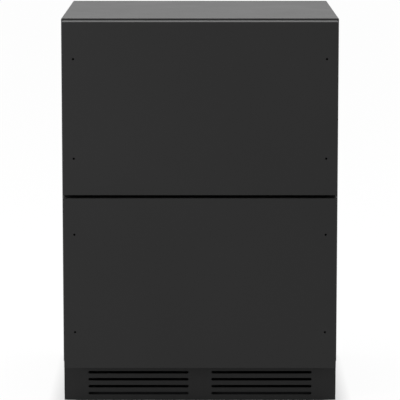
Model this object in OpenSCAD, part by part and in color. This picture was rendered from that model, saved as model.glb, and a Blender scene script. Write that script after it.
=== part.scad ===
// Undercounter drawer refrigerator: a steel cabinet with two insulated drawers on
// telescopic ball-bearing slides, and a front-breathing machine compartment below.
// Millimetres. +Z is up, the drawer fronts face -Y, and the origin is the centre of the footprint.

/* [Cabinet] */
// Width over the cabinet's side walls
cabinet_w = 606; // [600:1:620]
// Height from the floor to the top
cabinet_h = 857; // [852:1:870]
// Depth from the drawer fronts to the back
overall_d = 600; // [600:1:620]
// Thickness of the cabinet's sheet steel
sheet = 1; // [0.8:0.1:1.2]
// Radius of the sheet's outer bends
bend_r = 2.5; // [2:0.1:3]
// Width of the steel flange round the opening
flange_w = 32; // [30:1:34]
// Thickness of the foam in the side walls
wall_foam = 36; // [34:1:38]

/* [Drawer fronts] */
// Width of each drawer front
front_w = 598; // [594:1:600]
// Height of each drawer front
front_h = 378; // [376:0.5:379]
// Thickness of each drawer front
front_t = 48; // [46:1:50]
// Gap between the two fronts
front_gap = 6.5; // [6:0.5:8]
// Drop of the upper front below the cabinet's top
top_gap = 3.5; // [3:0.5:5]
// Thickness of the closed gasket
gasket_t = 8; // [7:0.5:9]
// Width of the gasket's sealing band
gasket_w = 14; // [12:1:15]
// Panel-fixing holes: distance between the left and right holes
hole_span_x = 549; // [540:1:552]
// Panel-fixing holes: distance between the upper and lower holes
hole_span_z = 217; // [200:1:240]
// Panel-fixing holes: diameter
hole_d = 5; // [4:0.5:6]

/* [Drawers] */
// Height of each drawer bin
bin_h = 206; // [180:2:210]
// Depth of the upper bin, front to back
upper_bin_d = 384; // [360:2:390]
// Depth of the lower bin, which stops short of the compressor step
lower_bin_d = 262; // [250:2:270]
// Thickness of the bins' sheet
bin_t = 1.2; // [1:0.1:1.5]
// Height of the upper slides' centreline
upper_slide_z = 690; // [684:1:694]
// Height of the lower slides' centreline
lower_slide_z = 326; // [322:1:328]

/* [Slides] */
// Length of each slide member
slide_l = 410; // [400:1:412]
// Height of a slide's outer member
slide_h = 46; // [45:0.5:48]
// Thickness of a whole slide, wall to drawer
slide_w = 13; // [12.7:0.1:13.5]
// Diameter of the bearing balls
ball_d = 4.8; // [4.6:0.1:5]
// Balls in each row
balls_per_row = 7; // [5:1:9]
// Length of a ball cage
cage_l = 150; // [120:2:160]

/* [Base] */
// Height of the kick grille's lower edge above the floor
kick_z = 2; // [2:1:6]
// Length of one ventilation slot
slot_l = 224; // [200:1:230]
// Height of one ventilation slot
slot_h = 6; // [5:0.5:7]
// Distance between slots
slot_pitch = 15.9; // [15:0.1:16.5]
// Solid band between the left and right slots
slot_band = 50.6; // [40:0.2:60]
// Slots in each column
slot_rows = 4; // [3:1:4]
// Travel of a levelling leg
leg_travel = 25; // [20:1:28]

/* [Hidden] */
$fn = 48;

// Planes, front to back
face_y = -overall_d / 2;
front_back_y = face_y + front_t;
cab_y = front_back_y + gasket_t;
back_y = overall_d / 2;
ring_t = 6;
ring_back_y = cab_y + sheet + ring_t;
liner_t = 2;
liner_flange_y = ring_back_y + liner_t;
liner_back_y = back_y - 46;
kick_y = cab_y + 20;
notch_y = kick_y + 2;
panel_y = back_y - 2;

// Heights
side_z = 14;
upper_front_z = cabinet_h - top_gap - front_h;
lower_front_z = upper_front_z - front_gap - front_h;
notch_z = lower_front_z + 4;
deck_z = 104;
machine_h_z = 252;
liner_floor_z = 135;
liner_top_z = cabinet_h - 42;
hump_z = 285;
hump_y = 60;
riser_y = 98;

// Half widths
half_w = cabinet_w / 2;
inner_half = half_w - sheet;
liner_half = inner_half - wall_foam - liner_t;
flange_half = half_w - flange_w;
corner_r = 14;

// Centre mullion and bottom rail
mullion_z = upper_front_z - front_gap / 2;
mullion_h = 62;
mullion_low = mullion_z - mullion_h / 2;
mullion_top = mullion_z + mullion_h / 2;
mullion_d = 38;
rail_top_z = 121;

// Slides, seen end on: x runs from the cabinet wall to the drawer, z from the centreline
race_clear = 0.12;
race_r = ball_d / 2 + race_clear;
race_depth = 1.4;
race_gap = ball_d + 2 * race_clear - 2 * race_depth;
lip_t = 2.4;
outer_face = slide_h / 2 - lip_t;
ball_1_z = outer_face - race_gap / 2;
mid_face = outer_face - race_gap;
mid_t = 3.6;
ball_2_z = mid_face - mid_t - race_gap / 2;
runner_face = mid_face - mid_t - race_gap;
web_t = 1.5;
cage_t = 0.8;
ball_1_x = 7.3;
ball_2_x = 8.8;
slide_y = cab_y + 22;
slide_end_y = slide_y + slide_l;
cage_y = slide_y + (slide_l - cage_l) / 2;

// Drawer bins and the rails that carry them
plug_back_y = cab_y + 12;
hem_w = 7;
rail_t = 1.5;
rail_half = liner_half - slide_w;
ledge_w = 13;
ledge_dz = 26;
rim_w = 11;
bin_y = plug_back_y + 18;
bin_half = rail_half - rail_t - ledge_w;
bin_r = 8;
divider_t = 3;
divider_h = bin_h - 14;

// Machine compartment
compressor_x = -120;
compressor_y = 198;
compressor_r = 72;
fan_x = 150;
fan_y = 206;
fan_z = 128;
fan_r = 72;
evap_fan_z = 716;
evap_fan_r = 46;
coil_y = liner_back_y - 22;
cover_y = liner_back_y - 50;
pan_t = 1.5;
pan_top_z = side_z + pan_t;
deck_half = inner_half - 0.2;
cover_screw_x = inner_half - 20;
drain_y = 222;
suction_x = -10;
capillary_x = -3;
dome_h = 30;
dome_z = 160;
gland_x = 240;
gland_z = 54;
leg_x = 262;
leg_front_y = -176;
leg_back_y = 262;
stem_r = 5;

// ---------- Helpers ----------

// A box between two corners.
module box(low, high) {
    translate(low) cube(high - low);
}

// A flat rectangle with round corners, centred on the origin.
module round_rect(w, h, r) {
    square([w - 2 * r, h], center = true);
    square([w, h - 2 * r], center = true);
    for (x = [-1, 1], y = [-1, 1])
        translate([x * (w / 2 - r), y * (h / 2 - r)]) circle(r);
}

// Extrudes a flat XZ outline along Y, from y0 to y1.
module along_y(y0, y1) {
    translate([0, y1, 0]) rotate([90, 0, 0]) linear_extrude(y1 - y0) children();
}

// Extrudes a flat YZ outline along X, from x0 to x1.
module along_x(x0, x1) {
    translate([x0, 0, 0]) rotate([90, 0, 90]) linear_extrude(x1 - x0) children();
}

// A round-cornered panel that stands in the XZ plane.
module panel(y0, y1, half, z0, z1, r) {
    along_y(y0, y1) translate([0, (z0 + z1) / 2]) round_rect(2 * half, z1 - z0, r);
}

// A round-cornered ring that stands in the XZ plane.
module ring(y0, y1, half, z0, z1, r, band) {
    along_y(y0, y1) translate([0, (z0 + z1) / 2]) difference() {
        round_rect(2 * half, z1 - z0, r);
        round_rect(2 * (half - band), z1 - z0 - 2 * band, max(r - band, 0.5));
    }
}

// A cylinder along Y that starts at y0.
module rod_y(x, y0, z, r, l) {
    translate([x, y0 + l, z]) rotate([90, 0, 0]) cylinder(r = r, h = l);
}

// The same shape on the left and, mirrored, on the right.
module both_sides() {
    children();
    mirror([1, 0, 0]) children();
}

// A slot with round ends, standing in the XZ plane.
module slot_y(x, z, l, h, y0, y1) {
    along_y(y0, y1) translate([x, z]) {
        square([l - h, h], center = true);
        for (s = [-1, 1]) translate([s * (l - h) / 2, 0]) circle(h / 2);
    }
}

// ---------- Cabinet shell ----------

// The wrapper's outline from all three sides, so that every outer bend is round.
module wrapper_block(inset, r) {
    half = half_w - inset;
    top = cabinet_h - inset;
    low = side_z - 10;
    front = cab_y + inset;
    back = back_y - inset;
    intersection() {
        along_y(front, back) translate([0, (low + top) / 2]) round_rect(2 * half, top - low, r);
        along_x(-half, half) translate([(front + back) / 2, (low + top) / 2])
            round_rect(back - front, top - low, r);
        translate([0, (front + back) / 2, low]) linear_extrude(top - low)
            round_rect(2 * half, back - front, r);
    }
}

module cabinet_wrapper() {
    color([0.16, 0.16, 0.17]) difference() {
        wrapper_block(0, bend_r);
        wrapper_block(sheet, bend_r - sheet);
        // Front opening inside the flange, and the open back and bottom
        box([-flange_half, cab_y - 1, 0], [flange_half, cab_y + 3, cabinet_h - flange_w]);
        box([-inner_half + 12, back_y - 4, 0], [inner_half - 12, back_y + 1, cabinet_h - 12]);
        box([-half_w - 1, cab_y - 1, -1], [half_w + 1, back_y + 1, side_z]);
        // Toe notch
        box([-half_w - 1, cab_y - 1, -1], [half_w + 1, notch_y, notch_z]);
    }
}

module rear_panel() {
    color([0.62, 0.63, 0.64])
        box([-inner_half + 2, panel_y, machine_h_z + 1], [inner_half - 2, panel_y + 1, cabinet_h - sheet - 2]);
}

module base_pan() {
    front = notch_y + 16;
    color([0.13, 0.13, 0.14]) difference() {
        union() {
            box([-deck_half, front, side_z], [deck_half, panel_y, pan_top_z]);
            both_sides() box([-deck_half, front, side_z], [-deck_half + pan_t, panel_y, side_z + 26]);
            box([-deck_half, front, side_z - 9], [deck_half, front + pan_t, side_z + 10]);
            box([-deck_half, panel_y - pan_t, side_z], [deck_half, panel_y, side_z + 26]);
            for (x = [-1, 1], y = [leg_front_y, leg_back_y])
                translate([x * leg_x, y, side_z]) cylinder(r = 9.5, h = 10, $fn = 6);
            // Raised pads and weld studs under the compressor's feet
            for (x = [-1, 1], y = [-1, 1])
                translate([compressor_x + x * 62, compressor_y + y * 62, side_z]) {
                    cylinder(r1 = 14, r2 = 11, h = 6);
                    cylinder(r = 2.9, h = 34);
                }
        }
        for (x = [-1, 1], y = [leg_front_y, leg_back_y])
            translate([x * leg_x, y, side_z - 1]) cylinder(r = stem_r + 0.1, h = 12);
        for (x = [-1:1]) rod_y(x * cover_screw_x, panel_y - 4, 30, 1.6, 5);
    }
}

// The stepped steel floor under the foam.
module machine_deck() {
    top = machine_h_z;
    color([0.62, 0.63, 0.64]) difference() {
        along_x(-deck_half, deck_half) polygon([
            [ring_back_y, deck_z - 1], [riser_y, deck_z - 1], [riser_y, top - 1],
            [panel_y - 1, top - 1], [panel_y - 1, top - 22], [panel_y, top - 22],
            [panel_y, top], [riser_y - 1, top], [riser_y - 1, deck_z], [ring_back_y, deck_z]
        ]);
        drain_hole();
        tube_hole();
        for (x = [-1:1]) rod_y(x * cover_screw_x, panel_y - 4, 240, 1.6, 5);
    }
}

module drain_hole() {
    translate([compressor_x, drain_y, machine_h_z - 10]) cylinder(r = 8.5, h = 60);
}

// One hole for the suction line and the capillary beside it.
module tube_hole() {
    translate([(suction_x + capillary_x) / 2 - 1, coil_y, machine_h_z - 10]) cylinder(r = 9, h = 60);
}

// Outer form of the tub, without the space over the compressor.
module tub(grow, y0, y1) {
    difference() {
        panel(y0, y1, liner_half + grow, liner_floor_z - grow, liner_top_z + grow, corner_r + grow);
        box([-half_w, hump_y + grow, 0], [half_w, back_y, hump_z - grow]);
    }
}

module foam_insulation() {
    color([0.93, 0.86, 0.62]) difference() {
        intersection() {
            wrapper_block(sheet, bend_r - sheet);
            box([-half_w, liner_flange_y, deck_z], [half_w, panel_y, cabinet_h]);
        }
        tub(liner_t, liner_flange_y - 1, liner_back_y + liner_t);
        box([-half_w, riser_y - 1, 0], [half_w, back_y, machine_h_z]);
        drain_hole();
        tube_hole();
    }
}

module inner_liner() {
    color([0.83, 0.84, 0.85]) difference() {
        union() {
            tub(liner_t, ring_back_y, liner_back_y + liner_t);
            panel(ring_back_y, liner_flange_y, inner_half - 2, deck_z, cabinet_h - sheet - 2, 4);
        }
        tub(0, ring_back_y - 1, liner_back_y);
        drain_hole();
        tube_hole();
    }
}

module breaker_frame() {
    z0 = deck_z + 1;
    z1 = cabinet_h - sheet - bend_r;
    color([0.13, 0.13, 0.14]) difference() {
        panel(cab_y + sheet, ring_back_y, inner_half - bend_r, z0, z1, 3);
        panel(cab_y, ring_back_y + 1, liner_half, liner_floor_z, liner_top_z, corner_r);
    }
}

// The crossbar between the drawers, with a wiring recess along its back.
module centre_mullion() {
    y1 = cab_y + mullion_d;
    color([0.15, 0.15, 0.16]) difference() {
        panel(cab_y + sheet, y1, liner_half, mullion_low, mullion_top, 3);
        panel(y1 - 8, y1 + 1, liner_half - 20, mullion_low + 14, mullion_top - 14, 3);
    }
}

// Steel strips that the magnetic gaskets close on, across the mullion and the sill.
module face_rails() {
    color([0.15, 0.15, 0.16]) {
        box([-flange_half, cab_y, mullion_low], [flange_half, cab_y + sheet, mullion_top]);
        box([-flange_half, cab_y, notch_z], [flange_half, cab_y + sheet, rail_top_z]);
        box([-flange_half, cab_y, notch_z], [flange_half, notch_y + 14, notch_z + sheet]);
    }
}

module kick_grille() {
    t = 1.2;
    half = half_w - 0.3;
    back = kick_y + 15;
    color([0.13, 0.13, 0.14]) difference() {
        union() {
            box([-half, kick_y, kick_z], [half, kick_y + t, notch_z]);
            box([-inner_half, kick_y + t, notch_z - t], [inner_half, back, notch_z]);
            both_sides() box([-inner_half, kick_y + t, kick_z], [-inner_half + t, back, notch_z]);
        }
        for (side = [-1, 1], row = [0:slot_rows - 1])
            slot_y(side * (slot_band + slot_l) / 2, kick_z + 15.1 + row * slot_pitch, slot_l, slot_h,
                kick_y - 1, kick_y + t + 0.5);
    }
}

// Rear access cover with its louvre slots and the opening for the power inlet.
module machine_cover() {
    color([0.45, 0.46, 0.47]) difference() {
        box([-inner_half + 2, panel_y, pan_top_z], [inner_half - 2, panel_y + 1, machine_h_z]);
        for (x = [-240, -170, -100, -30, 40, 110, 180], row = [0:6])
            slot_y(x, 92 + row * 20, 54, 6, panel_y - 1, panel_y + 2);
        rod_y(gland_x, panel_y - 1, gland_z, 8.1, 4);
        for (x = [-1:1], z = [30, 240]) rod_y(x * cover_screw_x, panel_y - 1, z, 1.6, 4);
    }
}

module cover_screws() {
    color([0.75, 0.75, 0.76]) for (x = [-1:1], z = [30, 240]) {
        rod_y(x * cover_screw_x, panel_y + 1, z, 4, 1);
        rod_y(x * cover_screw_x, panel_y - 6, z, 1.5, 7);
    }
}

// ---------- Machine compartment ----------

// Domed half of the compressor's can, growing upwards.
module can_dome(h) {
    big_r = (compressor_r * compressor_r + h * h) / (2 * h);
    intersection() {
        cylinder(r = compressor_r, h = h);
        translate([0, 0, h - big_r]) sphere(big_r);
    }
}

// The sphere whose cap forms the top of the can.
module dome_ball(grow) {
    big_r = (compressor_r * compressor_r + dome_h * dome_h) / (2 * dome_h);
    translate([0, 0, dome_z + dome_h - big_r]) sphere(big_r + grow);
}

module compressor() {
    color([0.10, 0.10, 0.11]) translate([compressor_x, compressor_y, 0]) {
        translate([0, 0, 56]) cylinder(r = compressor_r, h = dome_z - 56);
        intersection() {
            translate([0, 0, dome_z]) cylinder(r = compressor_r, h = dome_h);
            dome_ball(0);
        }
        translate([0, 0, 56]) mirror([0, 0, 1]) can_dome(18);
        translate([0, 0, 96]) cylinder(r = compressor_r + 4, h = 5);
        difference() {
            translate([0, 0, 36]) linear_extrude(4) round_rect(148, 148, 16);
            for (x = [-1, 1], y = [-1, 1]) translate([x * 62, y * 62, 30]) cylinder(r = 7, h = 20);
        }
        // Discharge, suction and sealed process stubs
        translate([0, 0, 82]) rotate([90, 0, 0]) cylinder(r = 4.5, h = compressor_r + 14);
        translate([0, 0, 142]) rotate([0, 90, 0]) cylinder(r = 4.5, h = compressor_r + 14);
        translate([0, 0, 124]) rotate([0, 90, 40]) cylinder(r = 4, h = compressor_r + 20);
    }
}

module compressor_grommets() {
    color([0.07, 0.07, 0.07])
        for (x = [-1, 1], y = [-1, 1])
            translate([compressor_x + x * 62, compressor_y + y * 62, side_z + 6])
                rotate_extrude() polygon([
                    [3, 0], [12, 0], [12, 13], [9, 15.5], [6.8, 15.5], [6.8, 20.5], [11, 20.5],
                    [11, 24], [3, 24]
                ]);
}

module compressor_relay_box() {
    color([0.12, 0.12, 0.12]) translate([compressor_x, compressor_y, 66]) difference() {
        translate([-compressor_r - 12, 0, 0]) linear_extrude(70) round_rect(40, 58, 5);
        translate([0, 0, -1]) cylinder(r = compressor_r + 0.2, h = 80);
        translate([0, 0, 29]) cylinder(r = compressor_r + 4.3, h = 7);
    }
}

// A finned coil: parallel tubes along X with return bends, through plate fins.
module finned_coil(length, depth, height, rows, fins, tube_r) {
    pitch = height / rows;
    for (row = [0:rows - 1]) translate([0, 0, (row + 0.5) * pitch]) {
        rotate([0, 90, 0]) cylinder(r = tube_r, h = length);
        if (row < rows - 1)
            translate([row % 2 == 0 ? length : 0, 0, pitch / 2])
                rotate([90, row % 2 == 0 ? 0 : 180, 0]) rotate([0, 0, -90])
                    rotate_extrude(angle = 180) translate([pitch / 2, 0]) circle(tube_r);
    }
    gap = (length - 20) / (fins - 1);
    for (f = [0:fins - 1])
        translate([10 + f * gap - 0.5, -depth / 2, 0]) cube([1, depth, height]);
}

module condenser() {
    color([0.30, 0.31, 0.32]) {
        translate([52, 140, 34]) finned_coil(196, 40, 180, 6, 18, 4);
        for (x = [57, 241]) box([x, 118, pan_top_z], [x + 2, 162, 217]);
    }
}

module condenser_fan_shroud() {
    y0 = 164;
    color([0.14, 0.14, 0.15]) {
        difference() {
            union() {
                translate([fan_x, 0, 0]) {
                    panel(y0, y0 + 2, 98, pan_top_z, 226, 6);
                    both_sides() box([-98, y0, pan_top_z], [-80, y0 + 30, pan_top_z + 2]);
                }
                rod_y(fan_x, y0, fan_z, fan_r + 6, 34);
            }
            rod_y(fan_x, y0 - 1, fan_z, fan_r + 3, 40);
        }
        // Arms and the motor's seat, behind the blades
        for (a = [45, 135, 225, 315]) translate([fan_x, 0, fan_z]) rotate([0, a, 0]) {
            box([26, y0 + 68, -4], [fan_r + 6, y0 + 71, 4]);
            box([fan_r + 3, y0 + 30, -4], [fan_r + 6, y0 + 71, 4]);
        }
        difference() {
            rod_y(fan_x, y0 + 68, fan_z, 30, 3);
            rod_y(fan_x, y0 + 67, fan_z, 9, 5);
        }
    }
}

module condenser_fan_motor() {
    color([0.20, 0.20, 0.21]) {
        rod_y(fan_x, 235, fan_z, 28, 32);
        rod_y(fan_x, 267, fan_z, 18, 5);
        rod_y(fan_x, 192, fan_z, 3, 43);
    }
}

// An axial fan wheel about Y: a hub with tilted, round-tipped blades.
module fan_wheel(r, hub_r, hub_l, blades, bore_r) {
    chord = 1.15 * (r - hub_r);
    difference() {
        union() {
            rod_y(0, -hub_l / 2, 0, hub_r, hub_l);
            for (b = [0:blades - 1]) rotate([0, b * 360 / blades, 0])
                rotate([32, 0, 0]) along_y(0, 1.6) translate([(r + hub_r) / 2 - 1, 0])
                    round_rect(r - hub_r + 6, chord, 0.3 * chord);
        }
        rod_y(0, -hub_l, 0, bore_r, 2 * hub_l);
    }
}

module condenser_fan() {
    color([0.16, 0.16, 0.16]) translate([fan_x, fan_y, fan_z]) fan_wheel(fan_r - 2, 20, 24, 5, 3.05);
}

// Pan that warms on the compressor's dome, located by a collar.
module drain_pan() {
    z0 = dome_z + dome_h;
    color([0.25, 0.25, 0.26]) translate([compressor_x, 0, 0]) difference() {
        union() {
            translate([0, 204, z0]) linear_extrude(24) round_rect(180, 160, 14);
            translate([0, compressor_y, z0 - 16]) cylinder(r = 58, h = 17);
        }
        translate([0, 204, z0 + 2]) linear_extrude(24) round_rect(176, 156, 12);
        translate([0, compressor_y, z0 - 17]) cylinder(r = 50, h = 17);
        translate([0, compressor_y, 0]) dome_ball(0.1);
    }
}

module drain_tube() {
    color([0.70, 0.70, 0.68]) translate([compressor_x, drain_y, 0]) difference() {
        union() {
            translate([0, 0, 226]) cylinder(r = 8, h = hump_z - 226);
            translate([0, 0, hump_z]) cylinder(r = 13, h = 2);
        }
        translate([0, 0, 225]) cylinder(r = 6, h = 70);
    }
}

// A tube along a path of runs parallel to the axes, with a bend at each corner.
module tube_path(points, r, bend) {
    last = len(points) - 1;
    for (i = [0:last - 1]) {
        run = points[i + 1] - points[i];
        dir = run / norm(run);
        from = i == 0 ? 0 : bend;
        to = norm(run) - (i == last - 1 ? 0 : bend);
        translate(points[i] + from * dir)
            rotate([0, acos(dir[2]), atan2(dir[1], dir[0])]) cylinder(r = r, h = to - from);
    }
    for (i = [1:last - 1]) {
        came = (points[i] - points[i - 1]) / norm(points[i] - points[i - 1]);
        goes = (points[i + 1] - points[i]) / norm(points[i + 1] - points[i]);
        hub = points[i] + bend * (goes - came);
        n = cross(-goes, came);
        multmatrix([
            [-goes[0], came[0], n[0], hub[0]],
            [-goes[1], came[1], n[1], hub[1]],
            [-goes[2], came[2], n[2], hub[2]]
        ]) rotate_extrude(angle = 90) translate([bend, 0]) circle(r);
    }
}

module refrigerant_lines() {
    port = compressor_r + 14;
    top_row = 199;
    bottom_row = 49;
    drier_x = 16;
    color([0.72, 0.45, 0.28]) {
        // Discharge line to the condenser's top row
        tube_path([
            [compressor_x, compressor_y - port, 82], [compressor_x, 84, 82], [-22, 84, 82],
            [-22, 140, 82], [-22, 140, top_row], [52, 140, top_row]
        ], 3, 12);
        // Suction line up through the foam from the evaporator
        tube_path([
            [compressor_x + port, compressor_y, 142], [suction_x, compressor_y, 142],
            [suction_x, coil_y, 142], [suction_x, coil_y, 405], [-194, coil_y, 405],
            [-194, coil_y, 435], [-170, coil_y, 435]
        ], 3.5, 10);
        // Liquid line, filter drier and capillary
        tube_path([[52, 140, bottom_row], [drier_x, 140, bottom_row], [drier_x, 140, 66]], 3, 10);
        translate([drier_x, 140, 0]) {
            translate([0, 0, 64]) cylinder(r1 = 4, r2 = 11, h = 12);
            translate([0, 0, 76]) cylinder(r = 11, h = 60);
            translate([0, 0, 136]) cylinder(r1 = 11, r2 = 2, h = 12);
        }
        tube_path([
            [drier_x, 140, 146], [drier_x, 140, 236], [capillary_x, 140, 236], [capillary_x, coil_y, 236],
            [capillary_x, coil_y, 300], [capillary_x, coil_y - 16, 300],
            [capillary_x, coil_y - 16, 398], [-206, coil_y - 16, 398], [-206, coil_y - 16, 585],
            [-206, coil_y, 585], [-170, coil_y, 585]
        ], 1.2, 6);
    }
}

// Gland that the supply cord would enter by, with its lock nut inside the cover.
module cord_gland() {
    color([0.06, 0.06, 0.06]) difference() {
        union() {
            rod_y(gland_x, panel_y + 1, gland_z, 12, 1);
            rod_y(gland_x, panel_y - 12, gland_z, 8, 13);
            translate([gland_x, panel_y, gland_z]) rotate([90, 0, 0]) cylinder(r = 12, h = 5, $fn = 6);
        }
        rod_y(gland_x, panel_y - 13, gland_z, 4.5, 16);
    }
}

// ---------- Cold interior ----------

module evaporator() {
    color([0.78, 0.79, 0.80]) {
        translate([-170, coil_y, 420]) finned_coil(340, 36, 180, 6, 26, 4);
        for (x = [-164, 162]) box([x, coil_y - 19, 416], [x + 2, liner_back_y, 604]);
    }
}

// Moulded air duct in front of the evaporator, with return slots low and a round outlet high.
module evaporator_cover() {
    half = liner_half - 1;
    z0 = hump_z + 1;
    z1 = liner_top_z - 1;
    color([0.86, 0.87, 0.88]) difference() {
        panel(cover_y, liner_back_y, half, z0, z1, corner_r - 1);
        panel(cover_y + 2.5, liner_back_y + 1, half - 2.5, z0 + 2.5, z1 - 2.5, corner_r - 3);
        for (i = [-8:8]) along_y(cover_y - 1, cover_y + 4)
            translate([i * 24, 344]) round_rect(7, 50, 3.4);
        for (row = [-4:4]) {
            dz = row * 10;
            reach = sqrt(evap_fan_r * evap_fan_r - dz * dz);
            slot_y(0, evap_fan_z + dz, 2 * reach, 5, cover_y - 1, cover_y + 4);
        }
        translate([compressor_x, drain_y, z0 - 2]) cylinder(r = 13.5, h = 6);
        translate([(suction_x + capillary_x) / 2 - 1, coil_y, z0 - 2]) cylinder(r = 9, h = 6);
    }
}

module evaporator_fan_motor() {
    color([0.20, 0.20, 0.21]) {
        rod_y(0, 236, evap_fan_z, 20, liner_back_y - 236);
        rod_y(0, 212, evap_fan_z, 2.5, 24);
        box([-70, liner_back_y - 4, evap_fan_z - 8], [70, liner_back_y, evap_fan_z + 8]);
    }
}

module evaporator_fan() {
    color([0.30, 0.30, 0.31]) translate([0, 221, evap_fan_z]) fan_wheel(evap_fan_r - 2, 13, 16, 7, 2.55);
}

module control_housing() {
    y0 = cab_y + 26;
    color([0.15, 0.15, 0.16]) difference() {
        along_x(-95, 95) polygon([
            [y0, liner_top_z], [y0, liner_top_z - 6], [y0 + 6, liner_top_z - 12],
            [y0 + 48, liner_top_z - 18], [y0 + 62, liner_top_z - 18], [y0 + 68, liner_top_z - 12],
            [y0 + 68, liner_top_z]
        ]);
        control_face(1.5);
    }
}

// The sloping seat that holds the touch glass.
module control_face(t) {
    y0 = cab_y + 26;
    rise = atan2(-6, 42);
    translate([0, y0 + 6, liner_top_z - 12]) rotate([rise, 0, 0])
        translate([0, 0, -1]) linear_extrude(1 + t) translate([0, 21]) round_rect(172, 32, 4);
}

module control_glass() {
    y0 = cab_y + 26;
    rise = atan2(-6, 42);
    color([0.03, 0.03, 0.04]) translate([0, y0 + 6, liner_top_z - 12]) rotate([rise, 0, 0])
        linear_extrude(1.4) translate([0, 21]) round_rect(171.4, 31.4, 3.7);
}

module lamp_strips() {
    color([0.95, 0.95, 0.90]) {
        translate([0, -118, liner_top_z - 6]) linear_extrude(6) round_rect(280, 18, 4);
        translate([0, cab_y + 25, mullion_low - 6]) linear_extrude(6) round_rect(280, 18, 4);
    }
}

// ---------- Slides ----------

// Channel outline with one ball race along the inside of each flange.
module outer_profile() {
    difference() {
        union() {
            translate([0, -slide_h / 2]) square([web_t, slide_h]);
            for (s = [-1, 1]) translate([0, s * (slide_h / 2 - lip_t / 2) - lip_t / 2]) square([11.5, lip_t]);
        }
        for (s = [-1, 1]) translate([ball_1_x, s * ball_1_z]) circle(race_r);
    }
}

// Middle channel, with a race on both sides of each flange.
module mid_profile() {
    difference() {
        union() {
            translate([3.1, -mid_face]) square([web_t, 2 * mid_face]);
            for (s = [-1, 1]) translate([3.1, s * (mid_face - mid_t / 2) - mid_t / 2]) square([8.4, mid_t]);
        }
        for (s = [-1, 1]) {
            translate([ball_1_x, s * ball_1_z]) circle(race_r);
            translate([ball_2_x, s * ball_2_z]) circle(race_r);
        }
    }
}

// Inner channel, which is screwed to the drawer and opens towards the cabinet.
module runner_profile() {
    difference() {
        union() {
            translate([slide_w - web_t, -runner_face]) square([web_t, 2 * runner_face]);
            for (s = [-1, 1])
                translate([6.2, s * (runner_face - lip_t / 2) - lip_t / 2]) square([slide_w - 6.2, lip_t]);
        }
        for (s = [-1, 1]) translate([ball_2_x, s * ball_2_z]) circle(race_r);
    }
}

// A slide member on each side wall, at height z.
module members(z) {
    both_sides() translate([-liner_half, 0, z]) along_y(slide_y, slide_end_y) children();
}

module slide_rails(z) {
    color([0.72, 0.73, 0.75]) difference() {
        members(z) outer_profile();
        for (y = [slide_y + 30, slide_y + 200, slide_y + 370])
            both_sides() translate([-liner_half - 1, y, z]) rotate([0, 90, 0]) cylinder(r = 3, h = 4);
    }
}

module slide_mids(z) {
    color([0.76, 0.77, 0.79]) members(z) mid_profile();
}

module slide_runners(z) {
    color([0.80, 0.81, 0.83]) members(z) runner_profile();
}

// Ball cage: a folded strip with a hole for each ball, and the balls in it.
module cages(z, web_x, ball_x, ball_z, arm_end) {
    pitch = (cage_l - 20) / (balls_per_row - 1);
    both_sides() translate([-liner_half, 0, z]) {
        color([0.70, 0.66, 0.45]) difference() {
            along_y(cage_y, cage_y + cage_l) {
                translate([web_x, -ball_z - cage_t / 2]) square([cage_t, 2 * ball_z + cage_t]);
                for (s = [-1, 1])
                    translate([web_x, s * ball_z - cage_t / 2]) square([arm_end - web_x, cage_t]);
            }
            for (i = [0:balls_per_row - 1])
                translate([ball_x, cage_y + 10 + i * pitch, -ball_z - 2])
                    cylinder(r = ball_d / 2 + 0.15, h = 2 * ball_z + 4);
        }
        color([0.85, 0.86, 0.88]) for (i = [0:balls_per_row - 1], s = [-1, 1])
            translate([ball_x, cage_y + 10 + i * pitch, s * ball_z]) sphere(ball_d / 2);
    }
}

module outer_cages(z) {
    cages(z, 1.9, ball_1_x, ball_1_z, 10.8);
}

module inner_cages(z) {
    cages(z, 5.0, ball_2_x, ball_2_z, 11.2);
}

// ---------- Drawer fronts ----------

// The four panel-fixing holes, through the whole front.
module panel_holes(z0) {
    for (x = [-1, 1], z = [-1, 1])
        rod_y(x * hole_span_x / 2, face_y - 1, z0 + front_h / 2 + z * hole_span_z / 2, hole_d / 2, front_t + 2);
}

// Folded pan whose rear edge turns in over the inner liner.
module front_skin(z0) {
    y1 = front_back_y;
    color([0.18, 0.18, 0.19]) difference() {
        intersection() {
            panel(face_y, y1, front_w / 2, z0, z0 + front_h, 1.5);
            along_x(-front_w / 2, front_w / 2) translate([face_y + front_t / 2, z0 + front_h / 2])
                round_rect(front_t, front_h, 1.5);
            translate([0, face_y + front_t / 2, z0]) linear_extrude(front_h)
                round_rect(front_w, front_t, 1.5);
        }
        box([-front_w / 2 + sheet, face_y + sheet, z0 + sheet],
            [front_w / 2 - sheet, y1 - sheet, z0 + front_h - sheet]);
        box([-front_w / 2 + hem_w, face_y + sheet, z0 + hem_w],
            [front_w / 2 - hem_w, y1 + 1, z0 + front_h - hem_w]);
        panel_holes(z0);
    }
}

// Raised part of the front's inner side, which enters the cabinet's opening.
module plug(z0, grow, y1) {
    low = z0 < mullion_z - 10 ? liner_floor_z + 6 : mullion_top + 6;
    high = z0 < mullion_z - 10 ? mullion_low - 6 : liner_top_z - 6;
    panel(front_back_y - 4, y1, liner_half - 6 + grow, low - grow, high + grow, 10 + grow);
}

module front_foam(z0) {
    color([0.93, 0.86, 0.62]) difference() {
        union() {
            box([-front_w / 2 + sheet, face_y + sheet, z0 + sheet],
                [front_w / 2 - sheet, front_back_y - 3.5, z0 + front_h - sheet]);
            plug(z0, -2.5, plug_back_y - 2.5);
        }
        panel_holes(z0);
        rail_screw_holes(z0, 2.05);
    }
}

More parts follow.
